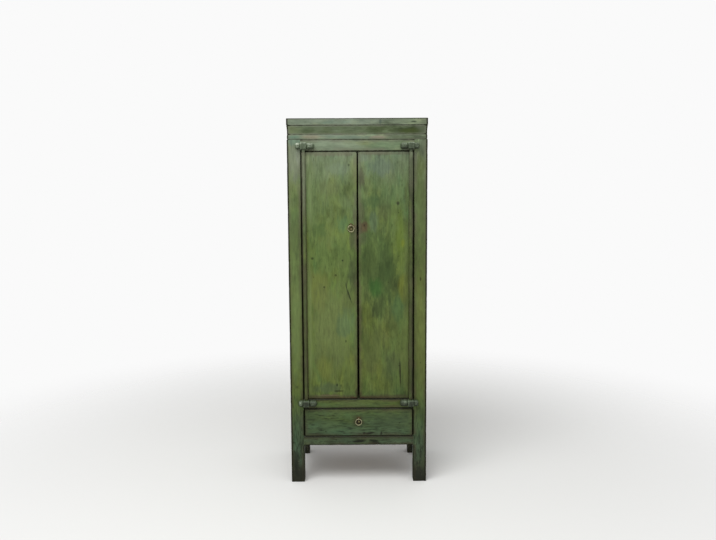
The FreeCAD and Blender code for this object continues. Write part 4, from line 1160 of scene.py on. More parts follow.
    def shell(self) -> Shell:
        """Carries the section along the grain and closes both ends."""
        rims = self._outline()
        middle = Vector((sum(r.across for r in rims), sum(r.over for r in rims))) / len(rims)
        low, high = [end(*middle) if callable(end) else end for end in self.span]
        length = high - low
        thin = min(max(r.across for r in rims) - middle.x, max(r.over for r in rims) - middle.y)
        rows = [Row(stop / length, inset, gap, 1.0, 0.0) for stop, inset, gap in self._stations(length)]
        for end, side in ((0, -1.0), (-1, 1.0)):
            if self.free[end]:
                caps = [Row(float(side > 0.0), rows[end].inset, thin * (1.0 - shrink), shrink, side)
                        for shrink in CAP_SHRINKS]
                rows = rows + caps[::-1] if side > 0.0 else caps + rows
        skin = Shell([], [], [], [])
        for row in rows:
            self._ring(skin, rims, middle, row)
        count = len(rims)
        for loop in range(len(rows) - 1):
            for number in range(count):
                after = (number + 1) % count
                near, far = loop * count, (loop + 1) * count
                skin.faces.append([near + number, near + after, far + after, far + number])
        skin.faces.append(list(reversed(range(count))))
        skin.faces.append(list(range((len(rows) - 1) * count, len(rows) * count)))
        return skin


def link_object(name: str, mesh: bpy.types.Mesh) -> bpy.types.Object:
    """Puts a mesh into the scene as an object at the origin."""
    piece = bpy.data.objects.new(name, mesh)
    bpy.context.scene.collection.objects.link(piece)
    return piece


def store(mesh: bpy.types.Mesh, name: str, values: Sequence[float], vectors: bool = False) -> None:
    """Keeps values on the points of a mesh.

    Args:
        mesh: The mesh.
        name: Name of the attribute that a material reads.
        values: One number a point, or three in a row for a vector.
        vectors: Whether they are vectors.
    """
    kind, key = ("FLOAT_VECTOR", "vector") if vectors else ("FLOAT", "value")
    mesh.attributes.new(name, kind, "POINT").data.foreach_set(key, values)


def fit(piece: bpy.types.Object, body: str, slot: str, *nodes: str) -> None:
    """Hands a finished piece to its body and hides the CAD nodes that it stands for.

    Args:
        piece: The piece.
        body: CAD body that it rides on.
        slot: Material slot of the record; not used.
        nodes: CAD nodes that it replaces.
    """
    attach(piece, body)
    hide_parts(*nodes)
    log.info("%s: %d faces on %s", piece.name, len(piece.data.polygons), body)


def fit_timber(node: str, body: str, slot: str, timbers: Sequence[Timber], finish: bpy.types.Material,
               tone: float = 0.0, lining: bpy.types.Material | None = None,
               lined: Vector | None = None) -> None:
    """Builds the worn form of a CAD node out of timbers and fits it in the node's place.

    Args:
        node: The CAD node.
        body: CAD body that the piece rides on.
        slot: Material slot of the record.
        timbers: The timbers that make up the piece.
        finish: Material of its faces.
        tone: How light the piece is among its neighbours, from -1 to 1.
        lining: Material of the faces that look inwards.
        lined: Direction in which those faces look.
    """
    points: list[Vector] = []
    faces: list[list[int]] = []
    edge: list[float] = []
    timber: list[float] = []
    for part in timbers:
        skin = part.shell()
        first = len(points)
        points += [point * MM for point in skin.points]
        faces += [[first + corner for corner in face] for face in skin.faces]
        edge += skin.edge
        timber += [value for vector in skin.timber for value in vector]
    mesh = bpy.data.meshes.new(node + "_timber")
    mesh.from_pydata(points, [], faces)
    store(mesh, "edge", edge)
    store(mesh, "tone", [tone] * len(points))
    store(mesh, "timber", timber, vectors=True)
    mesh.materials.append(finish)
    if lining is not None:
        mesh.materials.append(lining)
        for face in mesh.polygons:
            face.material_index = int(face.normal.dot(lined) > LINING_LIMIT)
    mesh.shade_smooth()
    mesh.set_sharp_from_angle(angle=SMOOTH_LIMIT)
    fit(link_object(node + "_timber", mesh), body, slot, node)


def dress_node(node: str, finish: bpy.types.Material) -> None:
    """Gives a CAD node that keeps its shape a finish of its own."""
    mesh = frame["nodes"][node].data
    mesh.materials.clear()
    mesh.materials.append(finish)
    log.info("%s: CAD shape kept, %s", node, finish.name)


# Sub-assemblies

@dataclass
class Case:
    """Posts, rails and panels of the case, with its shelves and drawer runners."""

    finishes: Finishes
    half: float = 290.0
    post_top: float = 1459.0
    post_inner: float = 234.0
    core_inset: float = 24.2
    core_drop: float = 6.0
    front_post_back: float = -133.0
    rear_post_front: float = 157.0
    rail_levels: tuple[tuple[str, float, float], ...] = (
        ("top", 1413.0, 1459.0), ("middle", 326.0, 364.0), ("bottom", 163.0, 200.0))
    rail_cover: float = 10.0
    stop_half: float = 208.0
    stop_front: float = -162.7
    let_in: float = 1.0
    bearer_width: float = 22.0
    runner_width: float = 30.0
    runner_y: tuple[float, float] = (-153.0, 183.0)
    # Painted light: posts are lighter on the left by this much and darker on the right, as light from the
    # left makes them.
    side_tone: float = 0.1

    def build(self) -> None:
        """Builds and dresses every piece of the case."""
        for side in Side:
            self._posts(side)
            self._side_rails(side)
            self._side_panels(side)
        self._cross_rails()
        self._back()
        self._boards()
        self._bars()

    def _coated(self, node: str, timbers: Sequence[Timber], tone: float = 0.0,
                lined: Vector | None = None) -> None:
        """Fits a lacquered piece of the case.

        Args:
            node: The CAD node.
            timbers: The timbers that make up the piece.
            tone: How light the piece is among its neighbours, from -1 to 1.
            lined: Direction in which its bare faces look, if it has any.
        """
        lining = None if lined is None else self.finishes.softwood
        fit_timber(node, "carcass", "green_lacquer", timbers, self.finishes.case, tone, lining, lined)

    def _bare(self, node: str, timbers: Sequence[Timber]) -> None:
        """Fits a piece of the case that was never painted."""
        fit_timber(node, "carcass", "bare_wood", timbers, self.finishes.softwood)

    def _posts(self, side: Side) -> None:
        """The front and rear post of one side, each with its core behind the cornice."""
        for row, tone in (("front", 0.05), ("rear", -0.1)):
            node = f"{row}_{side.word}_post"
            room = Extent.of(node)
            post = Timber.plank(node, room._replace(z=(0.0, self.post_top)), Grain.Z, arris=2.4,
                                free=(True, False), end_round=2.4, chip=2.2, butted=self._meets_rail)
            x = side.range(self.post_inner, self.half - self.core_inset)
            if row == "front":
                y = (room.y[0] + self.core_inset, room.y[1])
            else:
                y = (room.y[0], room.y[1] - self.core_inset)
            z = (self.post_top - self.core_drop, room.z[1])
            core = Timber.plank(node + "_core", Extent(x, y, z), Grain.Z, step=PLAIN_STEP)
            self._coated(node, [post, core], tone - self.side_tone * side.value)

    def _meets_rail(self, point: Vector) -> bool:
        """Whether a point on a post's inner edge is covered by the end of a rail."""
        inside = abs(point.x) < self.post_inner + self.rail_cover
        return inside and any(low < point.z < high for _, low, high in self.rail_levels)

    def _side_rails(self, side: Side) -> None:
        """The three rails of one side."""
        y = (self.front_post_back - self.let_in, self.rear_post_front + self.let_in)
        for name, low, high in self.rail_levels:
            node = f"{side.word}_{name}_rail"
            room = Extent.of(node)._replace(y=y, z=(low, high))
            self._coated(node, [Timber.plank(node, room, Grain.Y)])

    def _side_panels(self, side: Side) -> None:
        """The two panels of one side, bare towards the inside."""
        for name, grain in (("upper", Grain.Z), ("lower", Grain.Y)):
            node = f"{side.word}_{name}_panel"
            panel = Timber.plank(node, Extent.of(node), grain, arris=0.8, sway=0.7, chip=0.0)
            self._coated(node, [panel], tone=-0.05, lined=Vector((-side.value, 0.0, 0.0)))

    def _cross_rails(self) -> None:
        """The rails that run from side to side, with the door stops on the front ones."""
        x = (-self.post_inner - self.let_in, self.post_inner + self.let_in)
        for name, low, high in self.rail_levels:
            node = f"front_{name}_rail"
            room = Extent.of(node)
            timbers = [Timber.plank(node, room._replace(x=x, z=(low, high)), Grain.X)]
            stops = {"top": (room.z[0], low + self.let_in), "middle": (high - self.let_in, room.z[1])}
            if name in stops:
                lip = Extent((-self.stop_half, self.stop_half), (self.stop_front, room.y[1]), stops[name])
                timbers.append(Timber.plank(
                    node + "_stop", lip, Grain.X, arris=1.0, free=(True, True), end_round=1.0))
            self._coated(node, timbers, tone=0.1)
            node = f"rear_{name}_rail"
            rail = Timber.plank(node, Extent.of(node)._replace(x=x), Grain.X, step=PLAIN_STEP)
            self._bare(node, [rail])

    def _back(self) -> None:
        """The two panels of the back."""
        for name, grain in (("upper", Grain.Z), ("lower", Grain.X)):
            node = f"back_{name}_panel"
            room = Extent.of(node)
            panel = Timber.plank(node, room, grain, arris=0.8, sway=0.6, chip=0.0, step=PLAIN_STEP)
            self._bare(node, [panel])

    def _boards(self) -> None:
        """The cupboard floor and the two shelves."""
        for node in ("cabinet_floor", "lower_shelf", "upper_shelf"):
            room = Extent.of(node)
            board = Timber.plank(node, room, Grain.X, arris=1.4, step=PLAIN_STEP, free=(True, True))
            self._bare(node, [board])

    def _bars(self) -> None:
        """Shelf bearers, drawer runners and drawer kickers, left and right."""
        shelves = [Extent.of(node).z[0] for node in ("lower_shelf", "upper_shelf")]
        bearer = Extent.of("shelf_bearers")
        height = shelves[0] - bearer.z[0]
        rows = [(bearer.x[1] - self.bearer_width, bearer.x[1], (top - height, top)) for top in shelves]
        self._bar_set("shelf_bearers", rows, (self.front_post_back, self.rear_post_front))
        for node in ("drawer_runners", "drawer_kickers"):
            room = Extent.of(node)
            self._bar_set(node, [(room.x[1] - self.runner_width, room.x[1], room.z)], self.runner_y)

    def _bar_set(self, node: str, rows: Sequence[tuple[float, float, tuple[float, float]]],
                 y: tuple[float, float]) -> None:
        """One object for bars that repeat on both sides.

        Args:
            node: CAD node that holds them.
            rows: Inner x, outer x and height range of each right-hand bar.
            y: Their range from front to back.
        """
        bars = []
        for number, (inner, outer, z) in enumerate(rows):
            for side in Side:
                room = Extent(side.range(inner, outer), y, z)
                bars.append(Timber.plank(f"{node}_{number}_{side.word}", room, Grain.Y, step=PLAIN_STEP))
        self._bare(node, bars)


@dataclass
class Crown:
    """The moulded cornice and the mitred top frame with its panel."""

    finishes: Finishes
    half: float = 290.0
    front: float = -183.0
    back: float = 207.0
    neck: tuple[float, float] = (1459.0, 1481.0)
    neck_inset: float = 2.5
    neck_bulge: float = 1.2
    neck_arris: float = 0.8
    frieze: tuple[float, float] = (1481.0, 1517.0)
    frieze_inset: float = 2.0
    frieze_flare: float = 2.2
    frieze_sag: float = 0.12
    frieze_arris: float = 1.2
    inner: float = 24.0
    inner_arris: float = 0.6
    curve_points: int = 8
    overhang: float = 1.0
    frame_arris: float = 2.2
    frame_chip: float = 2.4
    panel_tongue: float = 6.0
    panel_gap: float = 1.0
    # The crown is out of reach, so the worn bands along its arrises are this much of the usual width.
    wear: float = 0.45

    def build(self) -> None:
        """Builds and dresses the crown."""
        self._cornice()
        self._top()

    def _moulding(self) -> list[tuple[float, float, float | None]]:
        """Outward offset, height and arris of the cornice's outline, from the inside round to the neck."""
        line: list[tuple[float, float, float | None]] = [
            (-self.inner, z, self.inner_arris) for z in (self.neck[0], self.frieze[1])]
        tall = self.frieze[1] - self.frieze[0]
        for number in range(self.curve_points, -1, -1):
            share = number / self.curve_points
            bend = (1.0 + self.frieze_sag) * share * share - self.frieze_sag * share
            offset = -self.frieze_inset + self.frieze_flare * bend
            arris = self.frieze_arris if number == self.curve_points else None
            line.append((offset, self.frieze[0] + tall * share, arris))
        tall = self.neck[1] - self.neck[0]
        for number in range(self.curve_points, -1, -1):
            share = number / self.curve_points
            offset = -self.neck_inset + self.neck_bulge * (1.0 - (2.0 * share - 1.0) ** 2)
            arris = self.neck_arris if number in (0, self.curve_points) else None
            line.append((offset, self.neck[0] + tall * share, arris))
        return line

    def _cornice(self) -> None:
        """Front, left, right and back cornice boards."""
        lacquer, softwood = self.finishes.case, self.finishes.softwood
        line = self._moulding()
        section = [Corner(self.front - offset, z, arris, self.wear) for offset, z, arris in line]

        def mitre(y: float, z: float) -> float:
            """Where the right-hand mitre cuts a line along the board."""
            return self.half + self.front - y

        board = Timber("cornice_front", Grain.X, section, (lambda y, z: -mitre(y, z), mitre),
                       mitred=(True, True))
        fit_timber("cornice_front", "carcass", "green_lacquer", [board], lacquer, tone=0.05,
                   lining=softwood, lined=Vector((0.0, 1.0, 0.0)))
        for side in Side:
            section = [Corner(z, side.value * (self.half + offset), arris, self.wear)
                       for offset, z, arris in line]
            node = f"cornice_{side.word}"
            board = Timber(node, Grain.Y, section,
                           (lambda z, x: self.front - (abs(x) - self.half), self.back), free=(False, True),
                           mitred=(True, False))
            fit_timber(node, "carcass", "green_lacquer", [board], lacquer,
                       lining=softwood, lined=Vector((-side.value, 0.0, 0.0)))
        board = Timber.plank("cornice_back", Extent.of("cornice_back"), Grain.X, step=PLAIN_STEP)
        fit_timber("cornice_back", "carcass", "bare_wood", [board], softwood)

    def _member(self, node: str, grain: Grain, span: tuple[End, End], tone: float = 0.0) -> None:
        """Fits one mitred member of the top frame.

        Args:
            node: The CAD node.
            grain: Direction of its fibres.
            span: The cuts at both ends.
            tone: How light it is among its neighbours, from -1 to 1.
        """
        member = Timber.plank(node, Extent.of(node), grain, self.frame_arris, self.wear,
                              chip=self.frame_chip, mitred=(True, True))
        member.span = span
        fit_timber(node, "carcass", "green_lacquer", [member], self.finishes.case, tone)

    def _top(self) -> None:
        """The four mitred members of the top frame and the panel between them."""
        half, front, back = self.half + self.overhang, self.front - self.overhang, self.back
        for node, edge_y in (("top_frame_front", front), ("top_frame_back", back)):

            def mitre(y: float, z: float, outer: float = edge_y) -> float:
                """Where the right-hand mitre cuts a line along the member."""
                return half - abs(y - outer)

            self._member(node, Grain.X, (lambda y, z, cut=mitre: -cut(y, z), mitre), tone=0.05)
        span = (lambda z, x: front + half - abs(x), lambda z, x: back - half + abs(x))
        for side in Side:
            self._member(f"top_frame_{side.word}", Grain.Y, span)
        room = Extent.of("top_panel")
        margin = self.panel_tongue + self.panel_gap
        x = (room.x[0] + margin, room.x[1] - margin)
        y = (room.y[0] + margin, room.y[1] - margin)
        panel = Timber.plank("top_panel", room._replace(x=x, y=y), Grain.X, arris=1.0,
                             free=(True, True), sway=0.3)
        fit_timber("top_panel", "carcass", "bare_wood", [panel], self.finishes.softwood)


def blank_group(name: str, inputs: dict[str, str]) -> tuple[bpy.types.NodeTree, Any]:
    """Starts a geometry tree that takes points and gives a mesh.

    Args:
        name: Name of the tree.
        inputs: Name of each further input against the type of its socket.

    Returns:
        The tree and the sockets on which its inputs arrive.
    """
    tree = bpy.data.node_groups.new(name, "GeometryNodeTree")
    for label, kind in {"Geometry": "Geometry", **inputs}.items():
        tree.interface.new_socket(label, in_out="INPUT", socket_type="NodeSocket" + kind)
    tree.interface.new_socket("Geometry", in_out="OUTPUT", socket_type="NodeSocketGeometry")
    return tree, add(tree, "NodeGroupInput").outputs


def run_tree(name: str, tree: bpy.types.NodeTree, points: Sequence[Vector],
             values: dict[str, Any]) -> bpy.types.Object:
    """Runs a node tree over points and keeps the result as a plain mesh.

    Args:
        name: Name of the object.
        tree: The geometry tree.
        points: Where it works, in millimetres.
        values: Input name against value.

    Returns:
        The object, without the modifier.
    """
    seed = bpy.data.meshes.new(name + "_points")
    seed.from_pydata([point * MM for point in points], [], [])
    piece = link_object(name, seed)
    modifier = piece.modifiers.new("tree", "NODES")
    modifier.node_group = tree
    for item in tree.interface.items_tree:
        if item.in_out == "INPUT" and item.name in values:
            modifier[item.identifier] = values[item.name]
    graph = bpy.context.evaluated_depsgraph_get()
    mesh = bpy.data.meshes.new_from_object(piece.evaluated_get(graph))
    piece.modifiers.remove(modifier)
    mesh.name = name
    piece.data = mesh
    mesh.shade_smooth()
    mesh.set_sharp_from_angle(angle=SMOOTH_LIMIT)
    return piece


@dataclass
class Battens:
    """The cross battens keyed into the back of a door, made by one node tree."""

    count: int = 3
    wide: float = 26.0
    depth: float = 16.0
    rounding: float = 1.5
    rounding_points: int = 2
    stations: int = 12

    def tree(self) -> bpy.types.NodeTree:
        """Builds the tree: a bar with softened edges, repeated up the door."""
        tree, given = blank_group("door_battens", {
            "Length": "Float", "Wide": "Float", "Depth": "Float", "Material": "Material"})
        section = add(tree, "GeometryNodeCurvePrimitiveQuadrilateral", {
            "Width": given["Wide"], "Height": given["Depth"]}, mode="RECTANGLE")
        section = add(tree, "GeometryNodeFilletCurve", {
            "Curve": section, "Count": self.rounding_points, "Radius": self.rounding * MM}, mode="POLY")
        half = add(tree, "ShaderNodeMath", {0: given["Length"], 1: 0.5}, operation="MULTIPLY")
        ahead = add(tree, "ShaderNodeCombineXYZ", {"X": half})
        behind = add(tree, "ShaderNodeVectorMath", {0: ahead, "Scale": -1.0}, operation="SCALE")
        path = add(tree, "GeometryNodeCurvePrimitiveLine", {"Start": behind, "End": ahead})
        path = add(tree, "GeometryNodeResampleCurve", {"Curve": path, "Count": self.stations}, mode="COUNT")
        bar = add(tree, "GeometryNodeCurveToMesh", {
            "Curve": path, "Profile Curve": section, "Fill Caps": True})
        bars = add(tree, "GeometryNodeInstanceOnPoints", {"Points": given["Geometry"], "Instance": bar})
        bars = add(tree, "GeometryNodeRealizeInstances", {"Geometry": bars})
        place = add(tree, "ShaderNodeSeparateXYZ", {0: add(tree, "GeometryNodeInputPosition")}).outputs
        turned = add(tree, "ShaderNodeCombineXYZ", {"X": place["Y"], "Y": place["Z"], "Z": place["X"]})
        for name, kind, value in (("timber", "FLOAT_VECTOR", turned), ("edge", "FLOAT", UNWORN_EDGE)):
            bars = add(tree, "GeometryNodeStoreNamedAttribute", {
                "Geometry": bars, "Name": name, "Value": value}, data_type=kind, domain="POINT")
        bars = add(tree, "GeometryNodeSetMaterial", {"Geometry": bars, "Material": given["Material"]})
        add(tree, "NodeGroupOutput", {"Geometry": bars})
        return tree


@dataclass
class Door:
    """One door: its board, the beaded pivot stile and the battens."""

    finishes: Finishes
    side: Side
    batten_tree: bpy.types.NodeTree
    battens: Battens
    tone: float
    stile_inner: float = 214.0
    stile_tone: float = -0.4
    bead: float = 8.0
    bead_points: int = 12
    quirk: float = 0.4
    back_arris: float = 1.0
    pin: float = 7.0
    pin_root: float = 2.0
    pivot_y: float = -191.5
    let_in: float = 1.0
    # The groove beside the stile is sheltered, so its worn band is this much of the usual width.
    groove_wear: float = 0.25
    # From the ends of the room of the battens to the middle of the first and the last one
    batten_end: float = 16.0

    def build(self) -> None:
        """Builds and dresses the door."""
        body = f"{self.side.word}_door"
        lacquer, softwood = self.finishes.doors[self.side], self.finishes.softwood
        board = Extent.of(body + "_board")
        inner = min(abs(x) for x in board.x)
        outer = self.stile_inner + self.let_in
        plank = Timber.plank(body + "_board", board._replace(x=self.side.range(inner, outer)), Grain.Z,
                             arris=1.8, free=(True, True), sway=0.45)
        plank.section = [corner._replace(wear=self.groove_wear) if abs(corner.across) == outer else corner
                         for corner in plank.section]
        fit_timber(body + "_board", body, "green_lacquer", [plank], lacquer, self.tone,
                   lining=softwood, lined=Vector((0.0, 1.0, 0.0)))
        fit_timber(body + "_stile", body, "green_lacquer", self._stile(body, board), lacquer,
                   self.tone + self.stile_tone)
        fit(self._keyed(body), body, "bare_wood", body + "_battens")

    def _stile(self, body: str, board: Extent) -> list[Timber]:
        """The half-round stile with a pivot pin at each end.

        Args:
            body: Name of the door's body.
            board: Room of the board.

        Returns:
            The stile and its pins.
        """
        room = Extent.of(body + "_stile")
        middle = (room.x[0] + room.x[1]) / 2.0
        section = []
        for number in range(self.bead_points + 1):
            angle = math.pi + math.pi * number / self.bead_points
            arris = self.quirk if number in (0, self.bead_points) else None
            x, y = middle + self.bead * math.cos(angle), self.pivot_y + self.bead * math.sin(angle)
            section.append(Corner(x, y, arris))
        for x in (middle + self.bead, middle - self.bead):
            section.append(Corner(x, room.y[1], self.back_arris))
        timbers = [Timber(body + "_stile", Grain.Z, section, board.z, free=(True, True),
                          sway=0.25, end_round=1.2)]
        circle = []
        for number in range(2 * self.bead_points):
            angle = math.pi * number / self.bead_points
            x, y = middle + self.pin * math.cos(angle), self.pivot_y + self.pin * math.sin(angle)
            circle.append(Corner(x, y, None))
        for z in ((room.z[0], board.z[0] + self.pin_root), (board.z[1] - self.pin_root, room.z[1])):
            timbers.append(Timber(body + "_pin", Grain.Z, circle, z, sway=0.0, chip=0.0))
        return timbers

    def _keyed(self, body: str) -> bpy.types.Object:
        """The door's cross battens."""
        room = Extent.of(body + "_battens")
        middle = (room.x[0] + room.x[1]) / 2.0
        y = room.y[1] - self.battens.depth / 2.0
        low, high = room.z[0] + self.batten_end, room.z[1] - self.batten_end
        gaps = self.battens.count - 1
        points = [Vector((middle, y, low + (high - low) * number / gaps)) for number in range(gaps + 1)]
        values = {
            "Length": (room.x[1] - room.x[0]) * MM, "Wide": self.battens.wide * MM,
            "Depth": self.battens.depth * MM, "Material": self.finishes.softwood}
        return run_tree(body + "_battens_keyed", self.batten_tree, points, values)


def merged_copy(node: str, name: str) -> bpy.types.Object:
    """Copies a CAD node into a new object and joins its loose triangles.

    Args:
        node: The CAD node.
        name: Name of the new object.

    Returns:
        The object, at the origin.
    """
    skin = bmesh.new()
    skin.from_mesh(frame["nodes"][node].data)
    bmesh.ops.remove_doubles(skin, verts=skin.verts, dist=MERGE_REACH * MM)
    bmesh.ops.dissolve_limit(skin, angle_limit=FLAT_LIMIT, verts=skin.verts, edges=skin.edges)
    mesh = bpy.data.meshes.new(name)
    skin.to_mesh(mesh)
    skin.free()
    return link_object(name, mesh)


@dataclass
class Drawer:
    """The drawer with its lacquered front and bare box."""

    finishes: Finishes
    end_gap: float = 0.25
    # The grain of the two sides is shifted by one of this many steps, in metres.
    shift_count: int = 97
    shift_step: float = 0.13

    def build(self) -> None:
        """Builds and dresses the drawer."""
        softwood = self.finishes.softwood
        room = Extent.of("drawer_front")
        x = (room.x[0] + self.end_gap, room.x[1] - self.end_gap)
        front = Timber.plank("drawer_front", room._replace(x=x), Grain.X, free=(True, True), sway=0.4)
        fit_timber("drawer_front", "drawer", "green_lacquer", [front], self.finishes.drawer,
                   lining=softwood, lined=Vector((0.0, 1.0, 0.0)))
        for node in ("drawer_back", "drawer_bottom"):
            board = Timber.plank(node, Extent.of(node), Grain.X, arris=0.8, step=PLAIN_STEP)
            fit_timber(node, "drawer", "bare_wood", [board], softwood)
        for side in Side:
            node = f"drawer_{side.word}_side"
            fit(self._dovetailed(node), "drawer", "bare_wood", node)

    def _dovetailed(self, node: str) -> bpy.types.Object:
        """A drawer side cut as the CAD node is, with its dovetails, and grained along its length."""
        piece = merged_copy(node, node + "_dovetailed")
        mesh = piece.data
        mesh.materials.clear()
        mesh.materials.append(self.finishes.softwood)
        shift = zlib.crc32(node.encode()) % self.shift_count * self.shift_step
        grain = [value for vertex in mesh.vertices
                 for value in (vertex.co.z + shift, vertex.co.x, vertex.co.y)]
        store(mesh, "timber", grain, vectors=True)
        store(mesh, "edge", [UNWORN_EDGE] * len(mesh.vertices))
        return piece


class Chip(NamedTuple):
    """A painted highlight on a block, in millimetres from the middle of the floor."""

    x: float
    z: float
    reach: float
    strength: float


@dataclass
class PivotBlocks:
    """The four carved blocks that hold the door pins, with their forged nails."""

    finishes: Finishes
    voxel: float = 0.8
    smoothing: int = 6
    smooth_factor: float = 0.5
    # How strongly the paint on a crest pales with its curvature, partly as handling and partly as a painted
    # highlight
    crest_gain: float = 2.2
    nail_x: tuple[float, float] = (193.0, 245.0)
    nail_z: tuple[float, float] = (349.5, 1433.0)
    nail_y: float = -201.4
    nail_seed: int = 11
    nail_tilt: float = 0.08
    head: float = 3.6
    head_depth: float = 1.8
    head_facets: int = 9
    crown_share: float = 0.55
    shank: float = 1.6
    shank_length: float = 18.0
    shank_facets: int = 8
    shank_drop: float = 8.6
    # Painted highlights on the blocks
    chips: tuple[Chip, ...] = (
        Chip(-247.0, 1441.0, 7.0, 0.22), Chip(-197.0, 1435.0, 8.0, 0.12), Chip(-222.0, 1436.0, 45.0, 0.06),
        Chip(224.0, 1441.0, 15.0, 0.10), Chip(196.0, 1440.0, 8.0, 0.13), Chip(-247.0, 352.0, 7.0, 0.32),
        Chip(-198.0, 350.0, 7.0, 0.06), Chip(198.0, 356.0, 8.0, 0.20), Chip(214.0, 353.0, 9.0, 0.12),
        Chip(222.0, 352.0, 45.0, 0.06))

    def build(self) -> None:
        """Builds and dresses the blocks and nails."""
        for height in ("upper", "lower"):
            for side in Side:
                node = f"{height}_{side.word}_pivot_block"
                fit(self._carved(node), "carcass", "block_paint", node)
        points = [Vector((side.value * x, self.nail_y, z))
                  for side in Side for x in self.nail_x for z in self.nail_z]
        values = {
            "Head": self.head * MM, "Shank": self.shank * MM, "Seed": self.nail_seed,
            "Material": self.finishes.painted_iron}
        nails = run_tree("pivot_block_nails_forged", self._nail_tree(), points, values)
        fit(nails, "carcass", "iron", "pivot_block_nails")

    def _carved(self, node: str) -> bpy.types.Object:
        """A block with the CAD shape, softened as by a knife and long handling."""
        piece = merged_copy(node, node + "_carved")
        remesh = piece.modifiers.new("even_skin", "REMESH")
        remesh.mode = "VOXEL"
        remesh.voxel_size = self.voxel * MM
        graph = bpy.context.evaluated_depsgraph_get()
        mesh = bpy.data.meshes.new_from_object(piece.evaluated_get(graph))
        piece.modifiers.clear()
        piece.data = mesh
        skin = bmesh.new()
        skin.from_mesh(mesh)
        for _ in range(self.smoothing):
            bmesh.ops.smooth_vert(skin, verts=skin.verts, factor=self.smooth_factor,
                                  use_axis_x=True, use_axis_y=True, use_axis_z=True)
        skin.normal_update()
        # Pale crests from curvature, plus the painted highlights.
        crest = [self._crest(vertex) + self._chipped(vertex.co / MM) for vertex in skin.verts]
        skin.to_mesh(mesh)
        skin.free()
        store(mesh, "crest", crest)
        mesh.materials.clear()
        mesh.materials.append(self.finishes.paint)
        mesh.shade_smooth()
        return piece

    def _crest(self, vertex: bmesh.types.BMVert) -> float:
        """How far a point stands out from those round it, from 0 to 1."""
        wide = {far for link in vertex.link_edges
                for near in link.other_vert(vertex).link_edges for far in near.verts}
        slopes = [vertex.normal.dot((other.co - vertex.co).normalized())
                  for other in wide if other is not vertex]
        return max(0.0, min(1.0, -self.crest_gain * sum(slopes) / max(1, len(slopes))))

    def _chipped(self, point: Vector) -> float:
        """How much painted highlight a point takes."""
        pale = 0.0
        for chip in self.chips:
            away = math.hypot(point.x - chip.x, point.z - chip.z) / chip.reach
            pale += chip.strength * math.exp(-away * away)
        return pale

    def _nail_tree(self) -> bpy.types.NodeTree:
        """Builds the tree: a faceted head and its shank on every point, each turned a little."""
        tree, given = blank_group("forged_nails", {
            "Head": "Float", "Shank": "Float", "Seed": "Int", "Material": "Material"})
        crown = add(tree, "ShaderNodeMath", {0: given["Head"], 1: self.crown_share}, operation="MULTIPLY")
        head = add(tree, "GeometryNodeMeshCone", {
            "Vertices": self.head_facets, "Side Segments": 2, "Radius Top": crown,
            "Radius Bottom": given["Head"], "Depth": self.head_depth * MM})
        shank = add(tree, "GeometryNodeMeshCylinder", {
            "Vertices": self.shank_facets, "Radius": given["Shank"], "Depth": self.shank_length * MM})
        shank = add(tree, "GeometryNodeTransform", {
            "Geometry": shank, "Translation": (0.0, 0.0, -self.shank_drop * MM)})
        joined = add(tree, "GeometryNodeJoinGeometry", {"Geometry": head})
        tree.links.new(shank.outputs[0], joined.inputs[0])
        nail = add(tree, "GeometryNodeTransform", {
            "Geometry": joined, "Rotation": (math.radians(90.0), 0.0, 0.0)})
        tilt = self.nail_tilt
        turn = add(tree, "FunctionNodeRandomValue", {
            "Min": (-tilt, 0.0, -tilt), "Max": (tilt, math.pi, tilt), "Seed": given["Seed"],
        }, data_type="FLOAT_VECTOR")
        nails = add(tree, "GeometryNodeInstanceOnPoints", {
            "Points": given["Geometry"], "Instance": nail, "Rotation": turn})
        nails = add(tree, "GeometryNodeRealizeInstances", {"Geometry": nails})
        nails = add(tree, "GeometryNodeSetMaterial", {"Geometry": nails, "Material": given["Material"]})
        add(tree, "NodeGroupOutput", {"Geometry": nails})
        return tree


@dataclass
class Pulls:
    """Eyes, rosettes and rings; the CAD shapes are right and only take a finish."""

    finishes: Finishes
    rubbed: tuple[str, ...] = (
        "left_door_pull_eye", "left_door_pull_ring", "drawer_pull_eye", "drawer_pull_ring")
    sheltered: tuple[str, ...] = ("left_door_pull_rosette", "drawer_pull_rosette")
    rusted: tuple[str, ...] = ("right_door_pull_eye",)

    def build(self) -> None:
        """Dresses the pulls."""
        rows = (
            (self.rubbed, self.finishes.brass),
            (self.sheltered, self.finishes.browned_brass),
            (self.rusted, self.finishes.iron))
        for nodes, finish in rows:
            for node in nodes:
                dress_node(node, finish)


class Lamp(NamedTuple):
    """A square soft box: its name, place in metres and power in watts."""

    name: str
    place: tuple[float, float, float]
    power: float


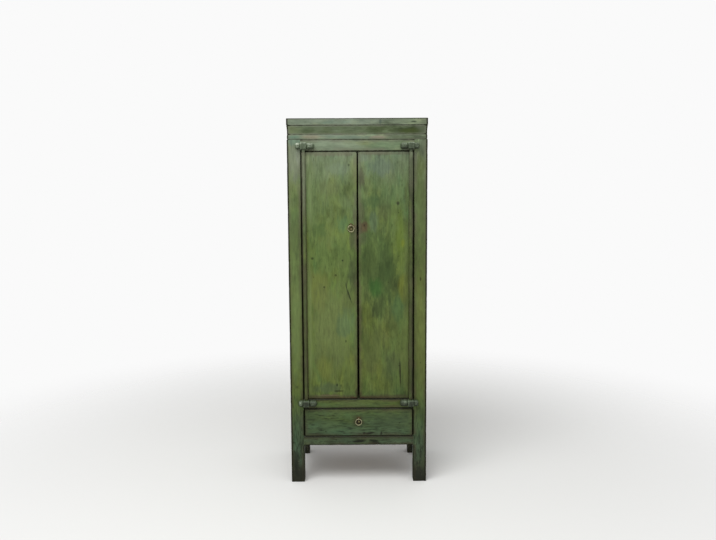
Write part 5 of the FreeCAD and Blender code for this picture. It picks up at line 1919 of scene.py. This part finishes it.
@dataclass
class Studio:
    """Pale floor, soft light and the camera at the photograph's viewing angle, in metres."""

    floor_colour: str = "#fafaf8"
    backdrop: str = "#fafafa"
    floor_radius: float = 2.7
    floor_sides: int = 96
    fade_start: float = 0.8
    sky_light: float = 0.5
    lamps: tuple[Lamp, ...] = (
        Lamp("key", (-0.9, -2.0, 3.9), 95.0), Lamp("fill", (2.4, -3.2, 1.7), 14.0))
    lamp_size: float = 2.6
    lamp_aim: tuple[float, float, float] = (0.0, 0.0, 0.8)
    focal_px: float = 720.0
    image_width: float = 716.0
    sensor: float = 36.0
    camera_place: tuple[float, float, float] = (-0.00855, -3.1808, 1.2436)
    pitch: float = 0.10758
    yaw: float = 0.003078
    roll: float = -0.005341

    def build(self) -> None:
        """Builds the studio."""
        bpy.context.scene.view_settings.view_transform = "Standard"
        self._floor()
        self._world()
        for lamp in self.lamps:
            self._light(lamp)
        self._camera()

    def _floor(self) -> None:
        """A disc of plain floor that fades into the backdrop."""
        mesh = bpy.data.meshes.new("studio_floor")
        skin = bmesh.new()
        bmesh.ops.create_circle(skin, cap_ends=True, segments=self.floor_sides, radius=self.floor_radius)
        skin.to_mesh(mesh)
        skin.free()
        floor = link_object("studio_floor", mesh)
        material, tree = blank_material("pale_floor")
        place = add(tree, "ShaderNodeTexCoord").outputs["Object"]
        reach = add(tree, "ShaderNodeVectorMath", {0: place}, operation="LENGTH").outputs["Value"]
        fade = Slope(self.fade_start, self.floor_radius)
        share = add(tree, "ShaderNodeMapRange", fade.feeds(reach), interpolation_type="SMOOTHSTEP")
        matt = add(tree, "ShaderNodeBsdfDiffuse", {"Color": linear(self.floor_colour)})
        clear = add(tree, "ShaderNodeBsdfTransparent")
        surface = add(tree, "ShaderNodeMixShader", {0: share, 1: matt, 2: clear})
        add(tree, "ShaderNodeOutputMaterial", {"Surface": surface})
        mesh.materials.append(material)

    def _world(self) -> None:
        """Even sky light; the backdrop itself is a plain near-white."""
        world = bpy.data.worlds.new("studio")
        bpy.context.scene.world = world
        world.use_nodes = True
        tree = world.node_tree
        tree.nodes.clear()
        rays = add(tree, "ShaderNodeLightPath").outputs
        seen = rays["Is Camera Ray"]
        for kind in ("Is Glossy Ray", "Is Transmission Ray"):
            seen = add(tree, "ShaderNodeMath", {0: seen, 1: rays[kind]}, operation="MAXIMUM")
        light = add(tree, "ShaderNodeBackground", {"Color": linear("#ffffff"), "Strength": self.sky_light})
        plain = add(tree, "ShaderNodeBackground", {"Color": linear(self.backdrop), "Strength": 1.0})
        sky = add(tree, "ShaderNodeMixShader", {0: seen, 1: light, 2: plain})
        add(tree, "ShaderNodeOutputWorld", {"Surface": sky})

    def _light(self, lamp: Lamp) -> None:
        """Hangs a soft box that is aimed at the cabinet."""
        data = bpy.data.lights.new(lamp.name, "AREA")
        data.size = self.lamp_size
        data.energy = lamp.power
        light = bpy.data.objects.new(lamp.name, data)
        light.location = lamp.place
        aim = Vector(self.lamp_aim) - light.location
        light.rotation_euler = aim.to_track_quat("-Z", "Y").to_euler()
        bpy.context.scene.collection.objects.link(light)

    def _camera(self) -> None:
        """The camera, turned as it was for the photograph."""
        flat = math.cos(self.pitch)
        ahead = Vector((math.sin(self.yaw) * flat, math.cos(self.yaw) * flat, -math.sin(self.pitch)))
        level = Vector((math.cos(self.yaw), -math.sin(self.yaw), 0.0))
        upright = level.cross(ahead)
        right = level * math.cos(self.roll) + upright * math.sin(self.roll)
        upward = upright * math.cos(self.roll) - level * math.sin(self.roll)
        data = bpy.data.cameras.new("camera")
        data.sensor_width = self.sensor
        data.lens = self.focal_px * self.sensor / self.image_width
        camera = bpy.data.objects.new("camera", data)
        turn = Matrix((right, upward, -ahead)).transposed().to_4x4()
        camera.matrix_world = Matrix.Translation(Vector(self.camera_place)) @ turn
        bpy.context.scene.collection.objects.link(camera)
        bpy.context.scene.camera = camera


def main() -> None:
    """Builds the cabinet and the studio in order."""
    logging.basicConfig(level=logging.INFO, format="%(name)s: %(message)s")
    finishes = Finishes.mixed()
    Case(finishes).build()
    Crown(finishes).build()
    battens = Battens()
    tree = battens.tree()
    # Painted light: the left door is made lighter and the right door darker, as light from the left makes
    # them.
    for side, tone in ((Side.LEFT, 0.1), (Side.RIGHT, -0.3)):
        Door(finishes, side, tree, battens, tone).build()
    Drawer(finishes).build()
    PivotBlocks(finishes).build()
    Pulls(finishes).build()
    Studio().build()


if __name__ == "__main__":
    main()
